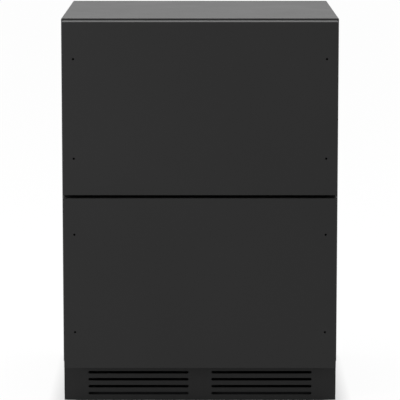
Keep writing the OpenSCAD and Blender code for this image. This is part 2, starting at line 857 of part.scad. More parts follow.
module front_liner(z0) {
    color([0.80, 0.81, 0.82]) difference() {
        union() {
            box([-front_w / 2 + sheet, front_back_y - 3.5, z0 + sheet],
                [front_w / 2 - sheet, front_back_y - sheet, z0 + front_h - sheet]);
            panel(front_back_y - 2, front_back_y, front_w / 2 - hem_w - 0.3, z0 + hem_w + 0.3,
                z0 + front_h - hem_w - 0.3, 1);
            intersection() {
                plug(z0, 0, plug_back_y);
                box([-half_w, front_back_y - 3.5, 0], [half_w, 0, cabinet_h]);
            }
        }
        plug(z0, -2.5, plug_back_y - 2.5);
        panel_holes(z0);
        rail_screw_holes(z0, 2.05);
    }
}

// Magnetic gasket: a base strip, a narrow bellows and a hollow sealing bulb.
module gasket(z0) {
    half = front_w / 2 - 12;
    low = z0 + 12;
    high = z0 + front_h - 12;
    inset = 2.5;
    color([0.10, 0.10, 0.10]) {
        ring(front_back_y, front_back_y + 1.6, half, low, high, 4, gasket_w);
        ring(front_back_y + 1.6, front_back_y + 3.6, half - inset, low + inset, high - inset, 3,
            gasket_w - 2 * inset);
        ring(front_back_y + 3.6, cab_y - 0.3, half, low, high, 4, gasket_w);
    }
}

// ---------- Drawer bins ----------

function slide_z(z0) = z0 < mullion_z - 10 ? lower_slide_z : upper_slide_z;

// Folded side rail: front flange to the drawer front, web on the slide, ledge under the bin's rim.
module bin_rails(z0) {
    zc = slide_z(z0);
    end_y = slide_end_y;
    color([0.60, 0.61, 0.63]) both_sides() difference() {
        union() {
            box([-rail_half, plug_back_y, zc - 22], [-rail_half + rail_t, end_y, zc + ledge_dz]);
            box([-rail_half, plug_back_y, zc + ledge_dz - rail_t],
                [-rail_half + rail_t + ledge_w, end_y, zc + ledge_dz]);
            box([-rail_half, plug_back_y, zc - 60], [-rail_half + 26, plug_back_y + rail_t, zc + ledge_dz]);
            // Gusset between the front flange and the web
            translate([-rail_half, 0, 0]) along_x(0, rail_t) polygon([
                [plug_back_y, zc - 60], [plug_back_y + 8, zc - 60], [plug_back_y + 46, zc - 22],
                [plug_back_y, zc - 22]
            ]);
        }
        for (dz = [-48, 8]) rod_y(-rail_half + 16, plug_back_y - 1, zc + dz, 2.05, 5);
    }
}

module rail_screw_holes(z0, r) {
    for (dz = [-48, 8]) both_sides()
        rod_y(-rail_half + 16, plug_back_y - 12, slide_z(z0) + dz, r, 14);
}

module rail_screws(z0) {
    color([0.75, 0.75, 0.76]) for (dz = [-48, 8]) both_sides() {
        rod_y(-rail_half + 16, plug_back_y - 10, slide_z(z0) + dz, 2, 10 + rail_t);
        rod_y(-rail_half + 16, plug_back_y + rail_t, slide_z(z0) + dz, 4, 2.4);
    }
}

// Ribs pressed up from the bin's floor.
module floor_ribs(r, depth) {
    for (x = [-3:3]) translate([x * 62, 0, 0]) rotate([90, 0, 0])
        cylinder(r = r, h = depth - 50 + 2 * r, center = true);
}

// Bin hung by its rim, with rounded corners and a ribbed floor.
module bin(z0, depth) {
    w = 2 * bin_half - 1;
    rib_r = 3.4;
    color([0.78, 0.79, 0.80]) translate([0, bin_y + depth / 2, slide_z(z0) + ledge_dz - bin_h])
        difference() {
            union() {
                linear_extrude(bin_h) round_rect(w, depth, bin_r);
                translate([0, 0, bin_h]) linear_extrude(bin_t) round_rect(w + 2 * rim_w, depth + 16, bin_r);
            }
            difference() {
                translate([0, 0, bin_t]) linear_extrude(bin_h + 5)
                    round_rect(w - 2 * bin_t, depth - 2 * bin_t, bin_r - bin_t);
                floor_ribs(rib_r, depth);
            }
            floor_ribs(rib_r - bin_t, depth);
        }
}

// Divider that hangs on the bin's rim and slides front to back.
module divider(z0, depth) {
    rim_z = slide_z(z0) + ledge_dz + bin_t;
    y0 = bin_y + depth / 2 - divider_t / 2;
    color([0.55, 0.60, 0.62, 0.6]) along_y(y0, y0 + divider_t) {
        translate([0, rim_z + 4 - divider_h / 2]) round_rect(2 * bin_half - 5, divider_h, 5);
        translate([0, rim_z + 3.5]) round_rect(2 * (bin_half + rim_w - 3), 6.6, 3);
    }
}

// ---------- Levelling legs ----------

module leg(x, y) {
    color([0.45, 0.46, 0.47]) translate([x, y, 0]) {
        cylinder(r1 = 18, r2 = 19, h = 2);
        translate([0, 0, 2]) cylinder(r = 19, h = 2.5);
        translate([0, 0, 4.5]) cylinder(r = 12, h = 7, $fn = 6);
        cylinder(r = stem_r, h = 56);
    }
}

cabinet_wrapper();
rear_panel();
base_pan();
machine_deck();
foam_insulation();
inner_liner();
breaker_frame();
centre_mullion();
face_rails();
kick_grille();
machine_cover();
cover_screws();
compressor();
compressor_grommets();
compressor_relay_box();
condenser();
condenser_fan_shroud();
condenser_fan_motor();
condenser_fan();
drain_pan();
drain_tube();
refrigerant_lines();
evaporator();
evaporator_cover();
evaporator_fan_motor();
evaporator_fan();
control_housing();
control_glass();
lamp_strips();
cord_gland();
slide_rails(upper_slide_z);  // upper_slide_rails
slide_rails(lower_slide_z);  // lower_slide_rails
slide_mids(upper_slide_z);  // upper_slide_mids
slide_mids(lower_slide_z);  // lower_slide_mids
outer_cages(upper_slide_z);  // upper_outer_cages
outer_cages(lower_slide_z);  // lower_outer_cages
inner_cages(upper_slide_z);  // upper_inner_cages
inner_cages(lower_slide_z);  // lower_inner_cages
slide_runners(upper_slide_z);  // upper_slide_runners
slide_runners(lower_slide_z);  // lower_slide_runners
front_skin(upper_front_z);  // upper_front_skin
front_skin(lower_front_z);  // lower_front_skin
front_foam(upper_front_z);  // upper_front_foam
front_foam(lower_front_z);  // lower_front_foam
front_liner(upper_front_z);  // upper_front_liner
front_liner(lower_front_z);  // lower_front_liner
gasket(upper_front_z);  // upper_gasket
gasket(lower_front_z);  // lower_gasket
bin_rails(upper_front_z);  // upper_bin_rails
bin_rails(lower_front_z);  // lower_bin_rails
bin(upper_front_z, upper_bin_d);  // upper_bin
bin(lower_front_z, lower_bin_d);  // lower_bin
rail_screws(upper_front_z);  // upper_rail_screws
rail_screws(lower_front_z);  // lower_rail_screws
divider(upper_front_z, upper_bin_d);  // upper_divider
divider(lower_front_z, lower_bin_d);  // lower_divider
leg(-leg_x, leg_front_y);  // front_left_leg
leg(leg_x, leg_front_y);  // front_right_leg
leg(-leg_x, leg_back_y);  // rear_left_leg
leg(leg_x, leg_back_y);  // rear_right_leg
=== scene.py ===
"""Looks of a panel-ready undercounter drawer refrigerator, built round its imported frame.

The satin black cabinet, its two drawers, the kick grille and everything that shows when a
drawer is pulled out are dressed here, and the small formed pieces are modelled with operators.
"""

import logging
import math
from dataclasses import dataclass
from enum import Enum
from functools import cached_property
from itertools import product
from typing import Callable, Sequence

import bpy
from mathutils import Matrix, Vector


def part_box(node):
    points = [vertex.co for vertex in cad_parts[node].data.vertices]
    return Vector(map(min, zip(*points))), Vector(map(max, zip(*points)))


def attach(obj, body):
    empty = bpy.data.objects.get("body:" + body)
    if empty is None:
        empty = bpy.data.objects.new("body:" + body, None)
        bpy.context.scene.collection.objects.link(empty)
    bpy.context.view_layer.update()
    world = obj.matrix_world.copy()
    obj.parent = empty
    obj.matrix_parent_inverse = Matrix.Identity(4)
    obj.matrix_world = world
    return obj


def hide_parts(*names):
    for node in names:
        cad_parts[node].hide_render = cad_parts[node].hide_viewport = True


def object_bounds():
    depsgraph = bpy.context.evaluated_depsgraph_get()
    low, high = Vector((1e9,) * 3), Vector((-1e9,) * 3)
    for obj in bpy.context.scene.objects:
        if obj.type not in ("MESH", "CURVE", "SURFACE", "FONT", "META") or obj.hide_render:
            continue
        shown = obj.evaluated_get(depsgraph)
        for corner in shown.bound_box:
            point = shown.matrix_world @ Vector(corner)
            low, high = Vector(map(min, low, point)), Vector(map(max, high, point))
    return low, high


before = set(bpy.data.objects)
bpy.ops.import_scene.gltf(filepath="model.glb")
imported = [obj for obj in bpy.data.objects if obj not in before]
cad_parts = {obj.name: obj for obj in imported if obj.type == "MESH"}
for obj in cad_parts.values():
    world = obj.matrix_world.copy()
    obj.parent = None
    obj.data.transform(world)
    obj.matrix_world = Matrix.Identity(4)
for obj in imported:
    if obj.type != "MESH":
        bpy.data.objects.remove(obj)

CAD_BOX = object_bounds()
MM = 0.001
QUARTER = math.pi / 2
LOG = logging.getLogger("fridge")

Colour = tuple[float, float, float]
Point = tuple[float, float, float]
Pair = tuple[float, float]
Socket = bpy.types.NodeSocket

# Cosine above which a face counts as looking along an axis, and the gap below which points agree
SQUARE_ON = 0.9
SAME = 1e-6
# How far pieces reach into what carries them, and how far a cutter reaches past a surface
BITE = 0.05 * MM
PAST = 0.1 * MM
UP: Point = (0.0, 0.0, 1.0)
DOWN: Point = (0.0, 0.0, -1.0)
WHITE = (1.0, 1.0, 1.0, 1.0)
# The values that a pattern mostly has, and all that it can have
USEFUL: Pair = (0.3, 0.7)
WHOLE: Pair = (0.0, 1.0)
# Sockets of a Mix node: the factor, then first, second and result for numbers and for colours
MIX_FACTOR, MIX_NUMBERS, MIX_COLOURS = 0, (2, 3, 0), (6, 7, 2)


class Body(Enum):
    """The rigid bodies that new pieces ride on."""

    CABINET = "cabinet"
    UPPER_DRAWER = "upper_drawer"
    LOWER_DRAWER = "lower_drawer"
    UPPER_DIVIDER = "upper_bin_divider"
    LOWER_DIVIDER = "lower_bin_divider"
    UPPER_MIDS = "upper_mids"
    LOWER_MIDS = "lower_mids"
    FRONT_LEFT_FOOT = "front_left_foot"
    FRONT_RIGHT_FOOT = "front_right_foot"
    REAR_LEFT_FOOT = "rear_left_foot"
    REAR_RIGHT_FOOT = "rear_right_foot"


class Drawer(Enum):
    """The two drawers, after which their nodes, pieces and bodies are named."""

    UPPER = "upper"
    LOWER = "lower"

    def part(self, name: str) -> str:
        """The full name of one of this drawer's nodes or pieces."""
        return f"{self.value}_{name}"

    def body(self, name: str = "drawer") -> Body:
        """The front with its bin, or another of this drawer's bodies."""
        return Body(self.part(name))


class Axis(Enum):
    """The directions of rods, rows and grain."""

    X = (1.0, 0.0, 0.0)
    Y = (0.0, 1.0, 0.0)
    Z = (0.0, 0.0, 1.0)


# ---------- Materials ----------


class NodeBench:
    """A node tree, and a short way to fill it."""

    def __init__(self, owner: bpy.types.Material | bpy.types.World) -> None:
        """Starts from an empty tree.

        Args:
            owner: the material or world that the tree belongs to.
        """
        owner.use_nodes = True
        self.tree = owner.node_tree
        self.tree.nodes.clear()
        self.drawn: dict["Pattern", Socket] = {}

    @cached_property
    def coordinates(self) -> bpy.types.NodeOutputs:
        """The outputs of the tree's one Texture Coordinate node."""
        return self.node("TexCoord", {}).outputs

    def node(self, kind: str, inputs: dict[int | str, object], **options: object) -> bpy.types.Node:
        """Adds a node.

        Args:
            kind: its type, without the leading ShaderNode.
            inputs: a plain value or a linked socket for each input that is set.
            options: the node's own settings.

        Returns:
            The node.
        """
        made = self.tree.nodes.new(f"ShaderNode{kind}")
        for key, value in options.items():
            setattr(made, key, value)
        for key, value in inputs.items():
            if isinstance(value, Socket):
                self.tree.links.new(value, made.inputs[key])
            else:
                made.inputs[key].default_value = value
        return made

    def spread(self, value: Socket, to: Sequence[float], span: Pair) -> Socket:
        """Maps the values in a span onto others."""
        ends = {"From Min": span[0], "From Max": span[1], "To Min": to[0], "To Max": to[1]}
        return self.node("MapRange", {"Value": value, **ends}).outputs["Result"]

    def draw(self, pattern: "Pattern") -> Socket:
        """Adds a pattern's nodes, once for each tree.

        Args:
            pattern: the pattern.

        Returns:
            Its value.
        """
        if pattern not in self.drawn:
            self.drawn[pattern] = pattern.wire(self)
        return self.drawn[pattern]


class Pattern:
    """A texture on object coordinates, with values from 0 to 1."""

    def wire(self, bench: NodeBench) -> Socket:
        """Adds the pattern's nodes. Each kind of pattern has its own version."""
        raise NotImplementedError


@dataclass(frozen=True)
class Noise(Pattern):
    """Fractal noise: features in a metre, octaves, distortion, and a scale for each axis."""

    per_metre: float
    detail: float = 3.0
    twist: float = 0.0
    scale: Point | None = None

    def wire(self, bench: NodeBench) -> Socket:
        """Adds the noise, on mapped coordinates where a scale draws it out.

        Args:
            bench: where the nodes go.

        Returns:
            The noise.
        """
        place = bench.coordinates["Object"]
        if self.scale:
            place = bench.node("Mapping", {"Vector": place, "Scale": self.scale}).outputs["Vector"]
        form = {"Scale": self.per_metre, "Detail": self.detail, "Distortion": self.twist}
        return bench.node("TexNoise", {"Vector": place, **form}).outputs["Fac"]


@dataclass(frozen=True)
class Cells(Pattern):
    """Cells in a metre: the Distance to each one's middle, or a random Color for each."""

    per_metre: float
    output: str

    def wire(self, bench: NodeBench) -> Socket:
        """Adds the cells."""
        form = {"Vector": bench.coordinates["Object"], "Scale": self.per_metre}
        return bench.node("TexVoronoi", form).outputs[self.output]


@dataclass(frozen=True)
class Ripples(Pattern):
    """Level ripples in a metre."""

    per_metre: float

    def wire(self, bench: NodeBench) -> Socket:
        """Adds the ripples."""
        form = {"Vector": bench.coordinates["Object"], "Scale": self.per_metre * math.pi / 10.0}
        return bench.node("TexWave", form, bands_direction="Z", wave_profile="SIN").outputs["Fac"]


@dataclass(frozen=True)
class Sum(Pattern):
    """One pattern with a share of another."""

    first: Pattern
    second: Pattern
    share: float

    def wire(self, bench: NodeBench) -> Socket:
        """Adds both patterns and their sum."""
        terms = {0: bench.draw(self.second), 1: self.share, 2: bench.draw(self.first)}
        return bench.node("Math", terms, operation="MULTIPLY_ADD").outputs["Value"]


@dataclass(frozen=True)
class Lines(Pattern):
    """Noise drawn out into lines along an axis, which on a formed bin's walls run round it."""

    per_metre: float
    along: Axis
    wraps: bool = False
    stretch: float = 0.012
    slopes: Pair = (0.6, 0.8)

    def wire(self, bench: NodeBench) -> Socket:
        """Adds the lines, and where they wrap a blend by how level a face is.

        Args:
            bench: where the nodes go.

        Returns:
            The lines' height.
        """
        scale = tuple(self.stretch if part else 1.0 for part in self.along.value)
        flat = bench.draw(Noise(self.per_metre, scale=scale))
        if not self.wraps:
            return flat
        walls = bench.draw(Noise(self.per_metre, scale=(self.stretch, self.stretch, 1.0)))
        up = bench.node("SeparateXYZ", {"Vector": bench.coordinates["Normal"]}).outputs["Z"]
        level = bench.node("Math", {0: up}, operation="ABSOLUTE").outputs["Value"]
        first, second, result = MIX_NUMBERS
        blend = {MIX_FACTOR: bench.spread(level, WHOLE, self.slopes), first: walls, second: flat}
        return bench.node("Mix", blend).outputs[result]


@dataclass(frozen=True)
class Finish:
    """One finish, with its record slot. Each kind of finish sets its own patterns.

    The tone pattern blends two shades of the colour, the darker of which can be tinted. The dull
    pattern, or without one the tone pattern, moves the roughness between two distances from its
    value where they are given. The bump pattern gives relief of a depth in metres. A span is where
    a pattern's useful values start and end.
    """

    name: str
    slot: str
    colour: Colour
    roughness: float
    metallic: float = 0.0
    specular: float = 0.5
    extras: tuple[tuple[str, float], ...] = ()
    tone: Pattern | None = None
    tones: Pair = (1.0, 1.0)
    tone_span: Pair = USEFUL
    tint: Colour = (1.0, 1.0, 1.0)
    dull: Pattern | None = None
    dulls: Pair | None = None
    dull_span: Pair = USEFUL
    bump: Pattern | None = None
    depth: float = 0.0

    def shade(self, factor: float, tint: Colour = (1.0, 1.0, 1.0)) -> tuple[float, ...]:
        """The colour made darker or lighter and tinted, with its alpha."""
        return (*(min(1.0, part * factor * hue) for part, hue in zip(self.colour, tint)), 1.0)

    def inputs(self, bench: NodeBench) -> dict[str, object]:
        """Draws the patterns.

        Args:
            bench: where their nodes go.

        Returns:
            A value or a linked socket for each input of the shader.
        """
        dark, light = self.tones
        (first, second, result), share = MIX_COLOURS, bench.draw(self.tone)
        blend = {MIX_FACTOR: bench.spread(share, WHOLE, self.tone_span)}
        blend |= {first: self.shade(dark, self.tint), second: self.shade(light)}
        colour = bench.node("Mix", blend, data_type="RGBA").outputs[result]
        values = {"Base Color": colour, "Metallic": self.metallic, "Roughness": self.roughness}
        if self.dulls:
            gloss, patches = [self.roughness + part for part in self.dulls], self.dull or self.tone
            values["Roughness"] = bench.spread(bench.draw(patches), gloss, self.dull_span)
        if self.bump:
            relief = {"Height": bench.draw(self.bump), "Strength": 1.0, "Distance": self.depth}
            values["Normal"] = bench.node("Bump", relief).outputs["Normal"]
        return {**values, "Specular IOR Level": self.specular, **dict(self.extras)}

    def material(self) -> bpy.types.Material:
        """The finish as a material, made once and then reused.

        Returns:
            The material.
        """
        made = bpy.data.materials.get(self.name)
        if made is None:
            made = bpy.data.materials.new(self.name)
            bench = NodeBench(made)
            shader = bench.node("BsdfPrincipled", self.inputs(bench))
            bench.node("OutputMaterial", {"Surface": shader.outputs["BSDF"]})
        return made


@dataclass(frozen=True)
class PowderCoat(Finish):
    """Satin powder coat on steel: faint orange peel, slight mottling and a few dull smudges."""

    specular: float = 0.18
    tone: Pattern = Noise(3.2, 4.0, 0.4)
    tones: Pair = (0.94, 1.06)
    dull: Pattern = Sum(Noise(7.0, 5.0, 1.2), Noise(160.0, 2.0), 0.25)
    dulls: Pair = (-0.015, 0.02)
    dull_span: Pair = (0.4, 0.9)
    bump: Pattern = Sum(Noise(430.0, 2.0), Noise(1900.0, 1.0), 0.3)
    depth: float = 0.012 * MM


@dataclass(frozen=True)
class BrushedSteel(Finish):
    """Stainless or zinc-plated strip: long fine scratches, with gloss that varies by streak."""

    metallic: float = 1.0
    tones: Pair = (0.93, 1.05)
    dulls: Pair = (-0.06, 0.08)
    dull_span: Pair = (0.4, 0.9)
    depth: float = 0.006 * MM


def brushed(along: Axis, wraps: bool = False) -> dict[str, Pattern]:
    """The patterns of steel that is brushed along an axis, or round a formed bin.

    Args:
        along: the axis.
        wraps: whether the lines run round the walls.

    Returns:
        The tone, dull and bump patterns.
    """
    scratches, streaks = (Lines(per_metre, along, wraps) for per_metre in (3600.0, 420.0))
    return {"tone": streaks, "dull": Sum(scratches, Noise(9.0), 0.2), "bump": scratches}


@dataclass(frozen=True)
class GalvanisedSteel(Finish):
    """Hot-dip galvanised sheet: spangles of their own brightness under a thin grey bloom."""

    metallic: float = 0.9
    tone: Pattern = Cells(70.0, "Color")
    tones: Pair = (0.94, 1.04)
    tone_span: Pair = (0.1, 0.9)
    dull: Pattern = Sum(Noise(11.0, 4.0), Cells(70.0, "Color"), 0.3)
    dulls: Pair = (-0.05, 0.07)
    dull_span: Pair = (0.35, 0.95)
    bump: Pattern = Noise(900.0, 2.0)
    depth: float = 0.008 * MM


@dataclass(frozen=True)
class MouldedPlastic(Finish):
    """Moulded or vacuum-formed plastic: a fine sparked grain, and tones that drift as it flowed."""

    specular: float = 0.35
    tone: Pattern = Noise(5.0, 3.0, 0.8)
    tones: Pair = (0.94, 1.05)
    dull: Pattern = Noise(60.0)
    dulls: Pair = (-0.04, 0.06)
    bump: Pattern = Noise(1400.0, 2.0)
    depth: float = 0.01 * MM


@dataclass(frozen=True)
class SealRubber(Finish):
    """Soft extruded rubber or foam: a dusty bloom in patches, and fine pores."""

    specular: float = 0.3
    tone: Pattern = Noise(38.0, 5.0, 0.6)
    tones: Pair = (1.0, 1.7)
    dulls: Pair = (-0.05, 0.08)
    bump: Pattern = Noise(1500.0, 2.0)
    depth: float = 0.012 * MM


@dataclass(frozen=True)
class RigidFoam(Finish):
    """Poured polyurethane foam: cells of about 1 mm, in a patchy cream to amber colour."""

    specular: float = 0.2
    tone: Pattern = Noise(24.0, 5.0, 1.0)
    tones: Pair = (0.78, 1.0)
    bump: Pattern = Cells(900.0, "Distance")
    depth: float = 0.2 * MM


@dataclass(frozen=True)
class BareCopper(Finish):
    """Drawn copper tube that has browned a little, with duller heat marks."""

    metallic: float = 1.0
    tone: Pattern = Noise(70.0, 4.0, 1.5)
    tones: Pair = (0.55, 1.0)
    dulls: Pair = (0.14, 0.0)
    bump: Pattern = Noise(1100.0, 2.0)
    depth: float = 0.006 * MM


@dataclass(frozen=True)
class ClearAcrylic(Finish):
    """Clear sheet with a faint tint and hairline scratches that only the gloss shows."""

    extras: tuple[tuple[str, float], ...] = (("Transmission Weight", 1.0), ("IOR", 1.49))
    tone: Pattern = Noise(40.0, 6.0, 0.0, (1.0, 1.0, 0.1))
    tones: Pair = (0.97, 1.0)
    dulls: Pair = (0.0, 0.05)


@dataclass(frozen=True)
class FrostedLens(Finish):
    """Milky lamp cover: a soft white body with a fine frost."""

    extras: tuple[tuple[str, float], ...] = (
        ("Transmission Weight", 0.25),
        ("IOR", 1.49),
        ("Subsurface Weight", 0.2),
    )
    tone: Pattern = Noise(700.0, 2.0)
    tones: Pair = (0.95, 1.0)
    dulls: Pair = (0.0, 0.1)
    bump: Pattern = Noise(700.0, 2.0)
    depth: float = 0.008 * MM


@dataclass(frozen=True)
class TouchGlass(Finish):
    """Back-painted black glass whose faint finger marks show most in the gloss."""

    extras: tuple[tuple[str, float], ...] = (("Coat Weight", 0.6), ("Coat Roughness", 0.03))
    tone: Pattern = Noise(55.0, 5.0, 2.0)
    tones: Pair = (1.0, 1.5)
    dulls: Pair = (0.0, 0.12)
    dull_span: Pair = (0.45, 0.75)


@dataclass(frozen=True)
class FinStock(Finish):
    """Thin fins with a fine corrugation, and dust that gathers in patches."""

    metallic: float = 1.0
    tone: Pattern = Noise(30.0, 5.0, 0.7)
    tones: Pair = (0.9, 1.1)
    dulls: Pair = (0.0, 0.15)
    bump: Pattern = Ripples(330.0)
    depth: float = 0.04 * MM


@dataclass(frozen=True)
class DippedPaint(Finish):
    """Thick black dip paint on the compressor can: glossy, with sags and duller patches."""

    tone: Pattern = Noise(26.0, scale=(1.0, 1.0, 0.25))
    tones: Pair = (1.0, 1.6)
    dulls: Pair = (0.0, 0.16)
    bump: Pattern = Sum(Noise(26.0, scale=(1.0, 1.0, 0.25)), Noise(500.0, 2.0), 0.05)
    depth: float = 0.2 * MM


@dataclass(frozen=True)
class PlatedSteel(Finish):
    """Zinc-plated turned steel: a bloom from cooler to warmer grey, and fine turning rings."""

    metallic: float = 1.0
    tone: Pattern = Noise(90.0, 4.0, 0.8)
    tint: Colour = (0.82, 0.86, 0.95)
    dulls: Pair = (0.0, 0.12)
    bump: Pattern = Noise(3000.0, 2.0, 0.0, (0.1, 0.1, 1.0))
    depth: float = 0.006 * MM


def grey(level: float) -> Colour:
    """A neutral colour."""
    return (level, level, level)


SATIN_BLACK = PowderCoat("satin_black_coat", "black_steel", grey(0.0125), 0.44)
# The wrapper's coat is the fronts' black made a little lighter and glossier, which paints the
# brighter sheen on the top
WRAPPER_BLACK_PAINTED_SHEEN = PowderCoat("wrapper_black_coat_painted_sheen", "black_steel", grey(0.0135), 0.43, specular=0.28)
FRAME_BLACK = PowderCoat("frame_black_coat", "black_steel", grey(0.0125), 0.46)
# The kick grille's coat is the fronts' black with a lower specular level, which paints the shade of
# its recess
KICK_BLACK_PAINTED_SHADE = PowderCoat("kick_black_coat_painted_shade", "black_steel", grey(0.0132), 0.5, specular=0.14)
# The base pan's coat is darker and duller than the cabinet's, which paints the shade seen through
# the kick grille's slots
PAN_BLACK_PAINTED_SHADE = PowderCoat("pan_black_coat_painted_shade", "black_steel", (0.008, 0.008, 0.0085), 0.7, specular=0.1)
GALVANISED = GalvanisedSteel("galvanised_sheet", "zinc_steel", (0.50, 0.51, 0.52), 0.42)
STRIP_GREY: Colour = (0.60, 0.61, 0.62)
ALONG_Y = brushed(Axis.Y)
SLIDE_ZINC = BrushedSteel("slide_zinc_strip", "slide_steel", STRIP_GREY, 0.32, **ALONG_Y)
RAIL_SATIN = BrushedSteel("rail_satin_steel", "slide_steel", (0.52, 0.53, 0.54), 0.36, **ALONG_Y)
CAGE_ZINC = BrushedSteel(
    "cage_yellow_zinc", "cage_steel", (0.60, 0.54, 0.34), 0.35, depth=0.004 * MM, **ALONG_Y
)
ALONG_Z = brushed(Axis.Z)
BRIGHT_ZINC = BrushedSteel(
    "bright_zinc_screw", "screw_steel", (0.66, 0.66, 0.64), 0.28, depth=0.004 * MM, **ALONG_Z
)
BIN_SATIN = BrushedSteel(
    "bin_satin_steel", "bin_steel", STRIP_GREY, 0.34, depth=0.003 * MM, **brushed(Axis.X, True)
)
FOAM = RigidFoam("cream_foam", "foam", (0.72, 0.58, 0.30), 0.9)
FINE_GRAIN = {"bump": Noise(900.0, 2.0), "depth": 0.006 * MM}
LINER_GREY = MouldedPlastic(
    "liner_pale_grey", "grey_liner", (0.50, 0.51, 0.52), 0.38, **FINE_GRAIN
)
DEEP_GRAIN = {"bump": Noise(800.0, 2.0), "depth": 0.02 * MM}
MOTOR_BLACK = MouldedPlastic(
    "motor_black_plastic", "black_plastic", (0.022, 0.022, 0.023), 0.6, **DEEP_GRAIN
)
DUCT_GREY = MouldedPlastic("duct_light_grey", "white_duct", (0.58, 0.59, 0.60), 0.45)
TRAY_WHITE = MouldedPlastic("lamp_tray_white", "white_duct", (0.62, 0.62, 0.61), 0.4)
PRINT_GREY = MouldedPlastic("print_pale_grey", "lamp_diffuser", STRIP_GREY, 0.5)
TRIM_BLACK = MouldedPlastic("trim_black_plastic", "black_plastic", (0.018, 0.018, 0.019), 0.5)
# Near-black sleeves, darker than the other black plastic, which paint the shade inside the panel
# holes
SLEEVE_BLACK_PAINTED_SHADE = MouldedPlastic("sleeve_black_plastic_painted_shade", "black_plastic", grey(0.003), 0.85)
PAD_BLACK = MouldedPlastic("leg_pad_black", "black_plastic", grey(0.015), 0.6)
SEAL = SealRubber("gasket_black_vinyl", "gasket_rubber", (0.012, 0.012, 0.0125), 0.62)
GROMMET = SealRubber("grommet_black_rubber", "grommet_rubber", grey(0.010), 0.75)
TUBE_FOAM = SealRubber("pipe_foam_sleeve", "grommet_rubber", grey(0.016), 0.9)
GLASS_BLACK = TouchGlass("touch_black_glass", "dark_glass", (0.004, 0.004, 0.005), 0.05)
LENS = FrostedLens("lamp_milky_lens", "lamp_diffuser", (0.86, 0.86, 0.83), 0.3)
CLEAR = ClearAcrylic("divider_clear_sheet", "clear_divider", (0.93, 0.96, 0.97), 0.03)
EVAPORATOR_FINS = FinStock("evaporator_bright_fins", "coil_aluminium", (0.66, 0.67, 0.68), 0.3)
CONDENSER_FINS = FinStock(
    "condenser_black_fins", "condenser_black", (0.03, 0.03, 0.031), 0.5, 0.0, tones=(0.6, 1.4)
)
CAN_BLACK = DippedPaint("compressor_black_dip", "compressor_black", (0.008, 0.008, 0.0085), 0.22)
COPPER = BareCopper("copper_tube", "copper", (0.80, 0.40, 0.25), 0.24)
LEG_ZINC = PlatedSteel("leg_plated_steel", "leg_steel", (0.56, 0.56, 0.54), 0.3)


def dress(finish: Finish, *nodes: str) -> None:
    """Gives CAD nodes a finish.

    Args:
        finish: the finish to use.
        nodes: names of CAD nodes.
    """
    for name in nodes:
        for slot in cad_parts[name].material_slots:
            slot.material = finish.material()
        LOG.info("dressed %s in %s", name, finish.name)


# ---------- Modelling ----------


